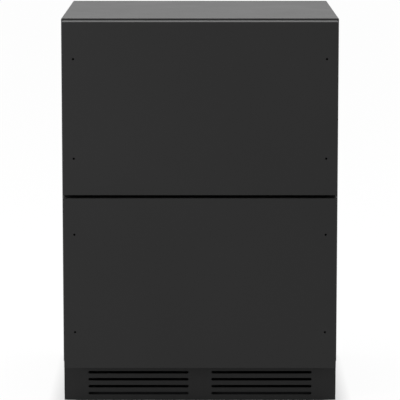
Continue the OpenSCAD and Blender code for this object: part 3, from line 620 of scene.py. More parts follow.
class Piece:
    """One new piece, shaped by operators on the bench and then finished."""

    def __init__(self, name: str) -> None:
        """Clears the bench, so that an operator acts on this piece alone.

        Args:
            name: what the finished piece is called.
        """
        self.name = name
        self.obj: bpy.types.Object | None = None
        self.clear()

    @staticmethod
    def clear() -> None:
        """Deselects everything in object mode."""
        if bpy.context.mode != "OBJECT":
            bpy.ops.object.mode_set(mode="OBJECT")
        bpy.ops.object.select_all(action="DESELECT")

    @staticmethod
    def joined(name: str, parts: Sequence["Piece"]) -> "Piece":
        """Joins parts into the first of them, under a new name."""
        parts[0].name = name
        return parts[0].merge(parts[1:])

    def alone(self) -> None:
        """Makes this piece the only one selected, and the active one."""
        self.clear()
        self.obj.select_set(True)
        bpy.context.view_layer.objects.active = self.obj

    def take(self) -> "Piece":
        """Takes the active object as this piece and puts its place into its mesh.

        Returns:
            The piece itself.
        """
        self.obj = bpy.context.active_object
        bpy.ops.object.transform_apply(location=True, rotation=True, scale=True)
        return self

    def block(self, low: Sequence[float], high: Sequence[float]) -> "Piece":
        """Starts from a box.

        Args:
            low: its corner with the lowest coordinates.
            high: its corner with the highest ones.

        Returns:
            The piece itself.
        """
        middle = [(a + b) / 2 for a, b in zip(low, high)]
        size = [b - a for a, b in zip(low, high)]
        bpy.ops.mesh.primitive_cube_add(size=1.0, location=middle, scale=size)
        return self.take()

    def rod(
        self, base: Sequence[float], axis: Axis, radius: float, length: float, sides: int = 32
    ) -> "Piece":
        """Starts from a prism or cylinder.

        Args:
            base: the middle of its first end.
            axis: the direction that it points in.
            radius: its radius at the corners.
            length: its length.
            sides: the number of its sides.

        Returns:
            The piece itself.
        """
        middle = Vector(base) + Vector(axis.value) * (length / 2)
        turn = {Axis.X: (0.0, QUARTER, 0.0), Axis.Y: (-QUARTER, 0.0, 0.0), Axis.Z: (0.0, 0.0, 0.0)}
        bpy.ops.mesh.primitive_cylinder_add(
            vertices=sides, radius=radius, depth=length, location=middle, rotation=turn[axis]
        )
        return self.take()

    def ring(
        self,
        base: Sequence[float],
        axis: Axis,
        outer: float,
        inner: float,
        length: float,
        sides: int = 48,
    ) -> "Piece":
        """Starts from a tube: a rod whose ends are inset, opened and bridged.

        Args:
            base: the middle of its first end.
            axis: the direction that it points in.
            outer: the outer radius.
            inner: the radius of the bore.
            length: its length.
            sides: the number of its sides.

        Returns:
            The piece itself.
        """
        self.rod(base, axis, outer, length, sides).pick_ends(axis).inset(outer - inner).remove()
        foot, along, middle = Vector(base), Vector(axis.value), (outer + inner) / 2

        def near(point: Vector) -> bool:
            """Whether a point lies on one of the two inner loops."""
            offset = point - foot
            return (offset - along * offset.dot(along)).length < middle

        return self.pick_edges(lambda a, b: near(a) and near(b)).bridge().outward()

    def sheet_xz(self, low: Pair, high: Pair, y: float) -> "Piece":
        """Starts from a flat upright rectangle that faces +Y.

        Args:
            low: x and z of its lower corner.
            high: x and z of its upper corner.
            y: where it stands.

        Returns:
            The piece itself.
        """
        middle = ((low[0] + high[0]) / 2, y, (low[1] + high[1]) / 2)
        bpy.ops.mesh.primitive_plane_add(size=1.0, location=middle, rotation=(-QUARTER, 0.0, 0.0))
        bpy.context.active_object.scale = (high[0] - low[0], high[1] - low[1], 1.0)
        return self.take()

    def pick_faces(self, test: Callable[[Vector, Vector], bool]) -> "Piece":
        """Enters edit mode with the faces that pass a test on centre and normal."""
        return self.pick("FACE", [test(f.center, f.normal) for f in self.obj.data.polygons])

    def pick_side(self, direction: Point) -> "Piece":
        """Enters edit mode with the faces that look in a direction."""
        return self.pick_faces(lambda c, n: n.dot(Vector(direction)) > SQUARE_ON)

    def pick_ends(self, axis: Axis) -> "Piece":
        """Enters edit mode with the faces at both ends of an axis."""
        return self.pick_faces(lambda c, n: abs(n.dot(Vector(axis.value))) > SQUARE_ON)

    def pick_edges(self, test: Callable[[Vector, Vector], bool]) -> "Piece":
        """Enters edit mode with the edges whose two ends pass a test."""
        points, edges = self.obj.data.vertices, self.obj.data.edges
        return self.pick("EDGE", [test(*(points[i].co for i in e.vertices)) for e in edges])

    def pick_points(self, test: Callable[[Vector], bool]) -> "Piece":
        """Enters edit mode with the vertices that pass a test."""
        return self.pick("VERT", [test(point.co) for point in self.obj.data.vertices])

    def pick_all(self) -> "Piece":
        """Enters edit mode with the whole piece."""
        return self.pick_points(lambda p: True)

    def pick(self, mode: str, flags: list[bool]) -> "Piece":
        """Sets the selection flags in object mode and goes to edit mode.

        Args:
            mode: FACE, EDGE or VERT.
            flags: which of the mesh's elements of that kind are selected.

        Returns:
            The piece itself.
        """
        bpy.ops.object.mode_set(mode="EDIT")
        bpy.ops.mesh.select_mode(type=mode)
        bpy.ops.mesh.select_all(action="DESELECT")
        bpy.ops.object.mode_set(mode="OBJECT")
        mesh = self.obj.data
        elements = {"FACE": mesh.polygons, "EDGE": mesh.edges, "VERT": mesh.vertices}
        elements[mode].foreach_set("select", flags)
        bpy.ops.object.mode_set(mode="EDIT")
        return self

    def done(self) -> "Piece":
        """Goes back to object mode."""
        bpy.ops.object.mode_set(mode="OBJECT")
        return self

    def inset(self, width: float, depth: float = 0.0) -> "Piece":
        """Insets the picked faces, and sinks or raises them."""
        bpy.ops.mesh.inset(thickness=width, depth=depth, use_even_offset=True)
        return self

    def extrude(self, move: Sequence[float]) -> "Piece":
        """Extrudes the picked region by a vector."""
        bpy.ops.mesh.extrude_region_move(TRANSFORM_OT_translate={"value": tuple(move)})
        return self

    def resize(self, factors: Sequence[float], centre: Sequence[float]) -> "Piece":
        """Scales what is picked about a point."""
        bpy.ops.transform.resize(value=tuple(factors), center_override=tuple(centre))
        return self

    def turn(self, angle: float, axis: str, centre: Sequence[float]) -> "Piece":
        """Turns what is picked about a point."""
        bpy.ops.transform.rotate(value=angle, orient_axis=axis, center_override=tuple(centre))
        return self

    def bevel(self, width: float, segments: int = 2, affect: str = "EDGES") -> "Piece":
        """Rounds the picked edges or corners."""
        bpy.ops.mesh.bevel(offset=width, segments=segments, affect=affect)
        return self

    def remove(self, kind: str = "FACE") -> "Piece":
        """Deletes what is picked."""
        bpy.ops.mesh.delete(type=kind)
        return self.done()

    def bridge(self) -> "Piece":
        """Bridges the picked loops."""
        bpy.ops.mesh.bridge_edge_loops()
        return self.done()

    def modifier(self, kind: str, **settings: object) -> "Piece":
        """Adds a modifier and applies it.

        Args:
            kind: the modifier's type.
            settings: its settings.

        Returns:
            The piece itself.
        """
        self.alone()
        made = self.obj.modifiers.new(kind.lower(), kind)
        for key, value in settings.items():
            setattr(made, key, value)
        bpy.ops.object.modifier_apply(modifier=made.name)
        return self

    def soften(self, width: float, segments: int = 2, angle: float = 30.0) -> "Piece":
        """Rounds all edges that are sharper than an angle."""
        limit = {"limit_method": "ANGLE", "angle_limit": math.radians(angle)}
        return self.modifier("BEVEL", width=width, segments=segments, **limit)

    def row(self, count: int, step: Sequence[float]) -> "Piece":
        """Repeats the piece in a row, in one mesh."""
        offset = {"use_constant_offset": True, "constant_offset_displace": tuple(step)}
        return self.modifier("ARRAY", count=count, use_relative_offset=False, **offset)

    def cut(self, tool: "Piece") -> "Piece":
        """Cuts another piece's shape out of this one.

        Args:
            tool: the other piece, which is deleted.

        Returns:
            The piece itself.
        """
        self.modifier("BOOLEAN", operation="DIFFERENCE", solver="EXACT", object=tool.obj)
        bpy.data.objects.remove(tool.obj, do_unlink=True)
        return self

    def merge(self, others: Sequence["Piece"]) -> "Piece":
        """Joins other pieces' meshes into this one.

        Args:
            others: the other pieces, of which there may be none.

        Returns:
            The piece itself.
        """
        self.alone()
        for other in others:
            other.obj.select_set(True)
        if others:
            bpy.ops.object.join()
        return self

    def copy(self, name: str, shift: Vector) -> "Piece":
        """Copies the piece.

        Args:
            name: the copy's name.
            shift: how far it lies from the piece.

        Returns:
            The copy, which has its own mesh.
        """
        twin = Piece(name)
        self.alone()
        bpy.ops.object.duplicate(linked=False)
        bpy.context.active_object.location = shift
        return twin.take()

    def outward(self) -> "Piece":
        """Merges doubles and turns all faces outwards.

        Returns:
            The piece itself.
        """
        self.pick_all()
        bpy.ops.mesh.remove_doubles(threshold=5 * SAME)
        bpy.ops.mesh.normals_make_consistent(inside=False)
        return self.done()

    def finish(
        self, finish: Finish, body: Body, replaces: Sequence[str] = (), smooth: float = 35.0
    ) -> None:
        """Smooths, names and dresses the piece and hands it to its body.

        Args:
            finish: its finish.
            body: the body that it rides on.
            replaces: the CAD nodes that it stands for.
            smooth: edges flatter than this many degrees are shaded smooth.
        """
        self.alone()
        bpy.ops.object.shade_smooth_by_angle(angle=math.radians(smooth))
        self.obj.name = self.obj.data.name = self.name
        self.obj.data.materials.clear()
        self.obj.data.materials.append(finish.material())
        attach(self.obj, body.value)
        if replaces:
            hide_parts(*replaces)
        LOG.info("made %s for %s", self.name, body.value)


@dataclass(frozen=True)
class ScrewHead:
    """A pan head with a cross recess, whose shank points towards -Y.

    The dome and the recess's floor are shares of the height. The recess's reach and half width
    are shares of the radius.
    """

    radius: float
    height: float
    shank: float
    sides: int = 28
    dome: float = 0.55
    recess: Pair = (0.55, 0.13)
    recess_floor: float = 0.35

    def build(self, seat: Point, tip_y: float) -> Piece:
        """Shapes the head, cuts the recess and adds the shank.

        Args:
            seat: the centre of the head's underside.
            tip_y: where the shank ends.

        Returns:
            The screw as one mesh.
        """
        x, y, z = seat
        head = Piece("screw").rod(seat, Axis.Y, self.radius, self.height, self.sides)
        head.pick_edges(lambda a, b: min(a.y, b.y) > y + self.height * 0.9)
        head.bevel(self.height * self.dome, 4).done()
        arm, width = (self.radius * share for share in self.recess)
        floor, top = y + self.height * self.recess_floor, y + self.height + PAST
        for half_x, half_z in ((arm, width), (width, arm)):
            low, high = (x - half_x, floor, z - half_z), (x + half_x, top, z + half_z)
            head.cut(Piece("recess").block(low, high))
        stem = Piece("shank").rod((x, tip_y, z), Axis.Y, self.shank, y - tip_y, 20)
        stem.pick_edges(lambda a, b: max(a.y, b.y) < tip_y + 10 * SAME)
        return head.merge([stem.bevel(self.shank * 0.4, 2).done()])


# ---------- The fridge's sub-assemblies ----------


@dataclass
class CabinetShell:
    """The folded steel wrapper with its face strips, frame, floor, grille and rear sheets."""

    bead_columns: Sequence[float] = (-150 * MM, 0.0, 150 * MM)
    bead_half: float = 7.0 * MM
    bead_round: float = 0.97
    bead_margin: float = 50 * MM
    rise: float = 0.9 * MM
    rivets: int = 7
    rivet_pitch: float = 80 * MM
    rivet_radius: float = 2.6 * MM
    rivet_round: float = 0.85
    rivet_edges: Pair = (9 * MM, 17 * MM)

    def build(self) -> None:
        """Dresses the sheets and models the rear panel's beads and rivets."""
        self.rear_beads()
        self.rear_rivets()
        # The wrapper's lighter, glossier coat paints the top's brighter sheen
        dress(WRAPPER_BLACK_PAINTED_SHEEN, "cabinet_wrapper")
        dress(FRAME_BLACK, "face_rails")
        dress(TRIM_BLACK, "breaker_frame", "centre_mullion")
        dress(GALVANISED, "rear_panel", "machine_deck", "machine_cover")
        # The pan's near-black coat paints the shade behind the kick slots
        dress(PAN_BLACK_PAINTED_SHADE, "base_pan")
        # The grille's less glossy coat paints the shade of the kick recess
        dress(KICK_BLACK_PAINTED_SHADE, "kick_grille")
        dress(FOAM, "foam_insulation")

    def rear_beads(self) -> None:
        """Shallow round-ended beads, pressed out of the rear panel to stiffen it."""
        low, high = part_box("rear_panel")
        half, foot = self.bead_half, low.z + self.bead_margin
        beads = []
        for x in self.bead_columns:
            base = (x, high.y, foot)
            bead = Piece("bead").rod(base, Axis.Z, half, high.z - self.bead_margin - foot, 40)
            bead.pick_edges(lambda a, b: abs(a.z - b.z) < 10 * SAME and (a - b).length < half)
            bead.bevel(half * self.bead_round, 6).done()
            bead.pick_all().resize((1.0, self.rise / half, 1.0), base).done()
            beads.append(bead)
        Piece.joined("rear_panel_beads", beads).finish(GALVANISED, Body.CABINET, smooth=60.0)

    def rear_rivets(self) -> None:
        """Domed rivets along the rear panel's top and bottom edges."""
        low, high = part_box("rear_panel")
        start = -self.rivet_pitch * (self.rivets - 1) / 2
        bottom, top = self.rivet_edges
        rows = []
        for z in (low.z + bottom, high.z - top):
            base = (start, high.y - PAST, z)
            rivet = Piece("rivet").rod(base, Axis.Y, self.rivet_radius, self.rise + PAST, 20)
            rivet.pick_edges(lambda a, b: min(a.y, b.y) > high.y)
            rivet.bevel(self.rise * self.rivet_round, 3).done()
            rows.append(rivet.row(self.rivets, (self.rivet_pitch, 0.0, 0.0)))
        Piece.joined("rear_panel_rivets", rows).finish(BRIGHT_ZINC, Body.CABINET)


@dataclass
class Gasket:
    """A drawer's magnetic gasket: base, neck, bellows and a rounded bulb, all in one ring.

    The steps of its section go from the front towards the cabinet. Each gives its rise as a share
    of the depth, and how many millimetres both edges of the band are drawn in there.
    """

    drawer: Drawer
    band: float = 14.0 * MM
    steps: Sequence[Pair] = (
        (0.16, 0.0), (0.20, 0.6), (0.24, 3.4), (0.36, 3.4), (0.42, 1.5), (0.48, 0.9), (0.54, 1.5),
        (0.58, 2.4), (0.64, 0.8), (0.70, 0.0), (0.88, 0.0), (0.96, 0.5), (1.00, 1.5),
    )

    def __post_init__(self) -> None:
        """Reads the gasket's place from its node."""
        self.low, self.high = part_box(self.drawer.part("gasket"))
        self.middle_z = (self.low.z + self.high.z) / 2
        self.half = (self.high.x, (self.high.z - self.low.z) / 2)

    def build(self) -> None:
        """Extrudes a flat frame step by step, draws each level in and closes the front."""
        low, high, start = self.low, self.high, self.low.y
        piece = Piece(self.drawer.part("gasket_profile"))
        piece.sheet_xz((low.x, low.z), (high.x, high.z), start).pick_all().inset(self.band).remove()
        at = start
        for rise, draw in self.steps:
            y = start + rise * (high.y - start)
            piece.pick_faces(lambda c, n: abs(c.y - at) < SAME and abs(n.y) > SQUARE_ON)
            piece.extrude((0.0, y - at, 0.0)).done()
            for outside in (True, False):
                self.draw_in(piece, y, draw * MM, outside)
            at = y
        piece.pick_edges(lambda a, b: max(abs(a.y - start), abs(b.y - start)) < SAME).bridge()
        node = self.drawer.part("gasket")
        piece.outward().finish(SEAL, self.drawer.body(), [node], smooth=50.0)

    def draw_in(self, piece: Piece, y: float, draw: float, outside: bool) -> None:
        """Sets one edge of the band at one level to its distance from the full band.

        Args:
            piece: the gasket so far.
            y: the level.
            draw: how far the edge is drawn in.
            outside: whether it is the outer edge of the band.
        """
        split_x, split_z = (size - self.band / 2 for size in self.half)

        def chosen(p: Vector) -> bool:
            """Whether a point is on this edge at this level."""
            outer = abs(p.x) > split_x or abs(p.z - self.middle_z) > split_z
            return abs(p.y - y) < SAME and outer == outside

        points = [point.co for point in piece.obj.data.vertices if chosen(point.co)]
        now = (max(p.x for p in points), max(p.z for p in points) - self.middle_z)
        inset = draw if outside else self.band - draw
        factor_x, factor_z = ((size - inset) / size_now for size, size_now in zip(self.half, now))
        if abs(factor_x - 1.0) > SAME:
            piece.pick_points(chosen)
            piece.resize((factor_x, 1.0, factor_z), (0.0, y, self.middle_z)).done()


@dataclass
class DrawerFront:
    """One insulated drawer front with its panel holes and the screws of its rails."""

    drawer: Drawer
    hole_x: float = 274.5 * MM
    hole_z: float = 108.5 * MM
    sleeve_outer: float = 2.62 * MM
    sleeve_bore: float = 2.4 * MM
    sleeve_sink: float = 0.15 * MM
    sleeve_end: float = 0.25 * MM
    screw: ScrewHead = ScrewHead(4.0 * MM, 2.4 * MM, 2.0 * MM)

    def build(self) -> None:
        """Dresses the front and models the screws and the holes' sleeves."""
        dress(SATIN_BLACK, self.drawer.part("front_skin"))
        dress(FOAM, self.drawer.part("front_foam"))
        dress(LINER_GREY, self.drawer.part("front_liner"))
        self.screws()
        self.sleeves()

    def screws(self) -> None:
        """Replaces the plain rail screws by pan heads with a cross recess."""
        node = self.drawer.part("rail_screws")
        low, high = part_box(node)
        radius, seat = self.screw.radius, high.y - self.screw.height
        columns, rows = (low.x + radius, high.x - radius), (low.z + radius, high.z - radius)
        heads = [self.screw.build((x, seat, z), low.y) for x, z in product(columns, rows)]
        name = self.drawer.part("rail_screw_heads")
        Piece.joined(name, heads).finish(BRIGHT_ZINC, self.drawer.body(), [node])

    def sleeves(self) -> None:
        """Near-black sleeves that line the four panel-fixing holes; their colour paints the shade
        inside the holes.
        """
        low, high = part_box(self.drawer.part("front_skin"))
        middle, start = (low.z + high.z) / 2, low.y + self.sleeve_sink
        columns, rows = (-self.hole_x, self.hole_x), (middle - self.hole_z, middle + self.hole_z)
        form = (self.sleeve_outer, self.sleeve_bore, high.y - start - self.sleeve_end, 28)
        tubes = [
            Piece("sleeve").ring((x, start, z), Axis.Y, *form) for x, z in product(columns, rows)
        ]
        name = self.drawer.part("hole_sleeves")
        Piece.joined(name, tubes).finish(SLEEVE_BLACK_PAINTED_SHADE, self.drawer.body())


@dataclass
class StorageBin:
    """A drawer's bin, its side rails, slides and sliding divider."""

    drawer: Drawer
    bead: float = 1.1 * MM
    bead_nose: Pair = (0.44 * MM, 0.275 * MM)
    bead_inset: float = 2.0 * MM
    bead_margin: float = 14 * MM
    bead_rise: float = 0.2 * MM
    strip_wide: float = 1.2 * MM
    strip_margin: float = 4 * MM
    strip_drop: float = 1.0 * MM
    strip_rise: float = 1.6 * MM
    grip_half: float = 80 * MM
    grip_share: float = 0.35

    def build(self) -> None:
        """Dresses the sheet metal and models the rim's beads and the divider's edge."""
        part = self.drawer.part
        dress(BIN_SATIN, part("bin"))
        dress(RAIL_SATIN, part("bin_rails"))
        dress(SLIDE_ZINC, part("slide_rails"), part("slide_mids"), part("slide_runners"))
        dress(CAGE_ZINC, part("outer_cages"), part("inner_cages"))
        dress(CLEAR, part("divider"))
        self.rim_beads()
        self.divider_edge()

    def rim_beads(self) -> None:
        """A thin rolled bead along the front and back of the rim."""
        low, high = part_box(self.drawer.part("bin"))
        length = high.x - low.x - 2 * self.bead_margin
        rolls = []
        for y in (low.y + self.bead_inset, high.y - self.bead_inset):
            base = (low.x + self.bead_margin, y, high.z + self.bead_rise)
            roll = Piece("roll").rod(base, Axis.X, self.bead, length, 16)
            rolls.append(roll.pick_ends(Axis.X).inset(*self.bead_nose).done())
        name = self.drawer.part("bin_rim_beads")
        Piece.joined(name, rolls).finish(BIN_SATIN, self.drawer.body())

    def divider_edge(self) -> None:
        """A satin edge strip along the divider's top, with a narrow grip in the middle."""
        low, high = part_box(self.drawer.part("divider"))
        near = (low.x + self.strip_margin, low.y - self.strip_wide, high.z - self.strip_drop)
        far = (high.x - self.strip_margin, high.y + self.strip_wide, high.z + self.strip_rise)
        strip = Piece(self.drawer.part("divider_edge")).block(near, far).pick_side(UP)
        bpy.ops.mesh.subdivide(number_cuts=6)
        strip.done().pick_points(lambda p: p.z > high.z and abs(p.x) < self.grip_half)
        strip.resize((1.0, 1.0, self.grip_share), (0.0, (low.y + high.y) / 2, high.z)).done()
        strip.soften(0.5 * MM).finish(RAIL_SATIN, self.drawer.body("bin_divider"))


@dataclass
class SlideTrim:
    """Screws, release levers and bumpers of one drawer's pair of slides.

    Each piece is modelled on the left slide and mirrored to the right. Distances across the slide
    are measured from the liner's wall, and those along it from the slide's front end. A lever's
    tail goes in steps, each with its length and its width against the last one's.
    """

    drawer: Drawer
    rail_web: float = 0.2 * MM
    runner_web: float = 11.5 * MM
    mid_web: float = 4.6 * MM
    rail_screws_at: Sequence[float] = (30 * MM, 200 * MM, 370 * MM)
    rail_screw: ScrewHead = ScrewHead(2.9 * MM, 1.25 * MM, 1.2 * MM)
    runner_screws_at: Sequence[float] = (22 * MM, 150 * MM, 330 * MM)
    runner_screw: ScrewHead = ScrewHead(3.6 * MM, 1.4 * MM, 1.2 * MM)
    screw_reach: float = 0.8 * MM
    pad_at: float = 62 * MM
    pad_length: float = 20 * MM
    pad_half: float = 7 * MM
    pad_thick: float = 3.6 * MM
    tail: Sequence[Pair] = ((8 * MM, 0.5), (26 * MM, 0.8), (5 * MM, 1.7))
    ribs: int = 6
    rib_pitch: float = 2.6 * MM
    rib_across: Pair = (-4.3 * MM, -3 * MM)
    rib_margin: float = 3 * MM
    rib_width: float = 1.2 * MM
    rib_half: float = 5 * MM
    bumper_half: float = 8.5 * MM
    bumper_length: float = 9 * MM
    bumper_thick: float = 1.7 * MM
    spring_slot: tuple[Pair, Pair, float] = ((-1 * MM, 3 * MM), (2.5 * MM, 7 * MM), 0.9 * MM)
    spring_slot_z: float = 4.2 * MM

    def __post_init__(self) -> None:
        """Reads the slides' place from their rails."""
        low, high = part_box(self.drawer.part("slide_rails"))
        self.wall, self.front, self.level = low.x, low.y, (low.z + high.z) / 2

    def build(self) -> None:
        """Models the four kinds of trim."""
        drawer, web = self.drawer.body(), self.runner_web
        rail = [self.face(self.rail_screw, self.rail_web, y, QUARTER) for y in self.rail_screws_at]
        self.hand_over("rail_mount_screws", rail, BRIGHT_ZINC, Body.CABINET)
        runner = [self.face(self.runner_screw, web, y, -QUARTER) for y in self.runner_screws_at]
        self.hand_over("runner_screws", runner, BRIGHT_ZINC, drawer)
        self.hand_over("release_levers", [self.lever()], TRIM_BLACK, drawer)
        self.hand_over("mid_bumpers", [self.bumper()], TRIM_BLACK, self.drawer.body("mids"))

    def hand_over(self, name: str, parts: Sequence[Piece], finish: Finish, body: Body) -> None:
        """Joins parts, mirrors them to the right slide and finishes the piece."""
        whole = Piece.joined(self.drawer.part(f"slide_{name}"), parts)
        whole.modifier("MIRROR", use_mirror_merge=False).finish(finish, body)

    def face(self, screw: ScrewHead, across: float, along: float, turn: float) -> Piece:
        """Turns a screw to face across the slide.

        Args:
            screw: the head to build.
            across: distance of its seat from the wall.
            along: distance from the slide's front end.
            turn: the turn about Z from facing the rear.

        Returns:
            The screw.
        """
        seat = (self.wall + across, self.front + along, self.level)
        head = screw.build(seat, seat[1] - self.screw_reach)
        return head.pick_all().turn(turn, "Z", seat).done()

    def box(self, web: float, across: Pair, along: Pair, half: float, up: float = 0.0) -> Piece:
        """A block on one of the slide's webs.

        Args:
            web: where the web stands.
            across: its nearer and further side, from the web.
            along: its start and end, from the slide's front end.
            half: half its height.
            up: its middle's height above the slide's.

        Returns:
            The block.
        """
        (left, right), (start, end), middle = across, along, self.level + up
        near = (web + left, self.front + start, middle - half)
        return Piece("block").block(near, (web + right, self.front + end, middle + half))

    def lever(self) -> Piece:
        """The release lever in the runner's channel: a ribbed finger pad with a tapered tail.

        Returns:
            The lever.
        """
        web, end = self.wall + self.runner_web, self.pad_at + self.pad_length
        lever = self.box(web, (-self.pad_thick, BITE), (self.pad_at, end), self.pad_half)
        for length, taper in self.tail:
            y, tip = self.front + end, (web, self.front + end + length, self.level)
            lever.pick_faces(lambda c, n: n.y > SQUARE_ON and c.y > y - PAST)
            lever.extrude((0.0, length, 0.0)).resize((1.0, 1.0, taper), tip).done()
            end += length
        lever.soften(0.5 * MM, 3)
        near = self.pad_at + self.rib_margin
        rib = self.box(web, self.rib_across, (near, near + self.rib_width), self.rib_half)
        return lever.merge([rib.soften(0.4 * MM).row(self.ribs, (0.0, self.rib_pitch, 0.0))])

    def bumper(self) -> Piece:
        """The soft stop on the middle member's front end, with two spring slots.

        Returns:
            The bumper.
        """
        web = self.wall + self.mid_web
        across, along = (-BITE, self.bumper_thick), (0.0, self.bumper_length)
        bumper = self.box(web, across, along, self.bumper_half)
        for z in (-self.spring_slot_z, self.spring_slot_z):
            bumper.cut(self.box(web, *self.spring_slot, z))
        return bumper.soften(0.35 * MM)


@dataclass
class MachineBay:
    """Compressor, condenser and fan, with the rear cover's louvres."""

    louvre_columns: Sequence[float] = tuple(x * MM for x in (-240, -170, -100, -30, 40, 110, 180))
    louvre_half: float = 27 * MM
    louvre_reach: float = 5.0 * MM
    louvre_drop: float = 4.2 * MM
    louvre_head: float = 0.9 * MM
    louvre_taper: Point = (0.9, 1.0, 0.1)
    louvre_sheet: float = 0.8 * MM
    first_row: float = 94.6 * MM
    row_pitch: float = 20 * MM
    rows: int = 7
    stud_inset: float = 12.0 * MM
    nut_radius: float = 5.5 * MM
    nut_height: float = 3.4 * MM
    nut_crown: Pair = (1.0 * MM, 0.5 * MM)
    flange_radius: float = 8.0 * MM
    flange_height: float = 0.8 * MM
    cover_screw: ScrewHead = ScrewHead(4.0 * MM, 1.0 * MM, 1.5 * MM)
    collars_at: Sequence[tuple[Point, Axis, float]] = (
        ((-120 * MM, 108 * MM, 82 * MM), Axis.Y, 5.4 * MM),
        ((-38 * MM, 198 * MM, 142 * MM), Axis.X, 5.6 * MM),
    )
    collar_length: float = 7.0 * MM
    collar_fillet: Pair = (1.2 * MM, 0.6 * MM)
    suction_at: Pair = (-10 * MM, 232 * MM)
    sleeve_base: float = 162 * MM
    sleeve_length: float = 62 * MM
    sleeve_radius: float = 8.4 * MM
    sleeve_hollow: Pair = (3.6 * MM, -1.2 * MM)
    ties_at: Sequence[float] = (14 * MM, 45 * MM)
    tie_width: float = 2.4 * MM
    tie_rise: float = 0.5 * MM
    tie_sink: float = 0.2 * MM
    bail_radius: float = 1.2 * MM
    bail_gap: float = 0.2 * MM
    bail_drop: float = 10 * MM
    bail_arm: float = 28 * MM
    cover_rib: float = 1.0 * MM
    cover_ribs: int = 8
    cover_rib_pitch: float = 5.4 * MM
    cover_rib_along: Pair = (9 * MM, 10.8 * MM)
    cover_rib_ends: Pair = (10 * MM, 16 * MM)
    lid_side: float = 6 * MM
    lid_ends: Pair = (3 * MM, 16 * MM)
    lid_rise: float = 1.4 * MM
    motor_ribs: int = 30
    motor_rib_half: float = 0.9 * MM
    motor_rib_along: Pair = (31 * MM, 9 * MM)
    motor_rib_sink: float = 0.6 * MM
    motor_rib_rise: float = 1.6 * MM

    def build(self) -> None:
        """Dresses the machine and models its small formed pieces."""
        dress(CAN_BLACK, "compressor")
        dress(GROMMET, "compressor_grommets")
        dress(MOTOR_BLACK, "compressor_relay_box", "condenser_fan_motor")
        dress(MOTOR_BLACK, "condenser_fan_shroud", "condenser_fan")
        dress(CONDENSER_FINS, "condenser")
        dress(TRIM_BLACK, "drain_pan", "cord_gland")
        dress(DUCT_GREY, "drain_tube")
        dress(COPPER, "refrigerant_lines")
        self.louvres()
        self.nuts()
        self.cover_screws()
        self.collars()
        self.pipe_sleeve()
        self.relay_cover()
        self.relay_bail()
        self.fan_motor_ribs()

    def louvres(self) -> None:
        """Hoods pressed inwards above each slot of the rear cover. They open downwards."""
        wall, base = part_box("machine_cover")[0].y, self.first_row
        tip, foot = wall - self.louvre_reach, base - self.louvre_drop
        hoods = []
        for x in self.louvre_columns:
            far = (x + self.louvre_half, wall - BITE, base + self.louvre_head)
            hood = Piece("hood").block((x - self.louvre_half, tip, foot), far)
            hood.pick_points(lambda p: p.y < wall - self.louvre_reach * 0.9 and p.z > base)
            hood.resize(self.louvre_taper, (x, tip, foot)).done()
            for side in (DOWN, Axis.Y.value):
                hood.pick_side(side).remove()
            hood.modifier("SOLIDIFY", thickness=self.louvre_sheet, offset=-1.0)
            hoods.append(hood.row(self.rows, (0.0, 0.0, self.row_pitch)))
        Piece.joined("machine_cover_louvres", hoods).finish(GALVANISED, Body.CABINET)

    def nuts(self) -> None:
        """A flanged nut on each of the compressor's four studs."""
        low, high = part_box("compressor_grommets")
        inset, made = self.stud_inset, []
        for x, y in product((low.x + inset, high.x - inset), (low.y + inset, high.y - inset)):
            seat = (x, y, high.z)
            nut = Piece("nut").rod(seat, Axis.Z, self.nut_radius, self.nut_height, 6)
            nut.pick_side(UP).inset(*self.nut_crown).done()
            flange = Piece("flange").rod(seat, Axis.Z, self.flange_radius, self.flange_height)
            made.append(nut.merge([flange]))
        Piece.joined("compressor_nuts", made).finish(BRIGHT_ZINC, Body.CABINET)

    def cover_screws(self) -> None:
        """Low heads with a cross recess in place of the cover's plain screws."""
        low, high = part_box("cover_screws")
        radius, seat = self.cover_screw.radius, high.y - self.cover_screw.height
        columns, rows = (low.x + radius, 0.0, high.x - radius), (low.z + radius, high.z - radius)
        heads = [self.cover_screw.build((x, seat, z), low.y) for x, z in product(columns, rows)]
        whole = Piece.joined("cover_screw_heads", heads)
        whole.finish(BRIGHT_ZINC, Body.CABINET, ["cover_screws"])

    def collars(self) -> None:
        """Brazed collars where the lines meet the compressor's stubs."""
        collars = []
        for base, axis, radius in self.collars_at:
            collar = Piece("collar").rod(base, axis, radius, self.collar_length, 24)
            collars.append(collar.pick_ends(axis).inset(*self.collar_fillet).done())
        Piece.joined("line_collars", collars).finish(COPPER, Body.CABINET)

    def pipe_sleeve(self) -> None:
        """Foam sleeve with two ties on the cold suction line."""
        x, y = self.suction_at
        base, radius = self.sleeve_base, self.sleeve_radius
        sleeve = Piece("suction_line_sleeve").rod((x, y, base), Axis.Z, radius, self.sleeve_length)
        sleeve.pick_ends(Axis.Z).inset(*self.sleeve_hollow).done().soften(1.2 * MM, 3)
        sleeve.finish(TUBE_FOAM, Body.CABINET)
        form = (Axis.Z, radius + self.tie_rise, radius - self.tie_sink, self.tie_width, 32)
        ties = [Piece("tie").ring((x, y, base + z), *form).soften(0.25 * MM) for z in self.ties_at]
        Piece.joined("suction_line_ties", ties).finish(TRIM_BLACK, Body.CABINET)

    def relay_cover(self) -> None:
        """Ribs on the relay box's outer wall, and its lid."""
        low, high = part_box("compressor_relay_box")
        wide, side = self.cover_rib, self.lid_side
        (start, end), (foot, head) = self.cover_rib_along, self.cover_rib_ends
        near = (low.x - wide, low.y + start, low.z + foot)
        rib = Piece("rib").block(near, (low.x + wide, low.y + end, high.z - head))
        ribs = rib.soften(0.5 * MM).row(self.cover_ribs, (0.0, self.cover_rib_pitch, 0.0))
        left, right = self.lid_ends
        near = (low.x + left, low.y + side, high.z - wide)
        far = (high.x - right, high.y - side, high.z + self.lid_rise)
        lid = Piece("lid").block(near, far).soften(1.0 * MM, 3)
        Piece.joined("relay_cover_ribs", [ribs, lid]).finish(TRIM_BLACK, Body.CABINET)

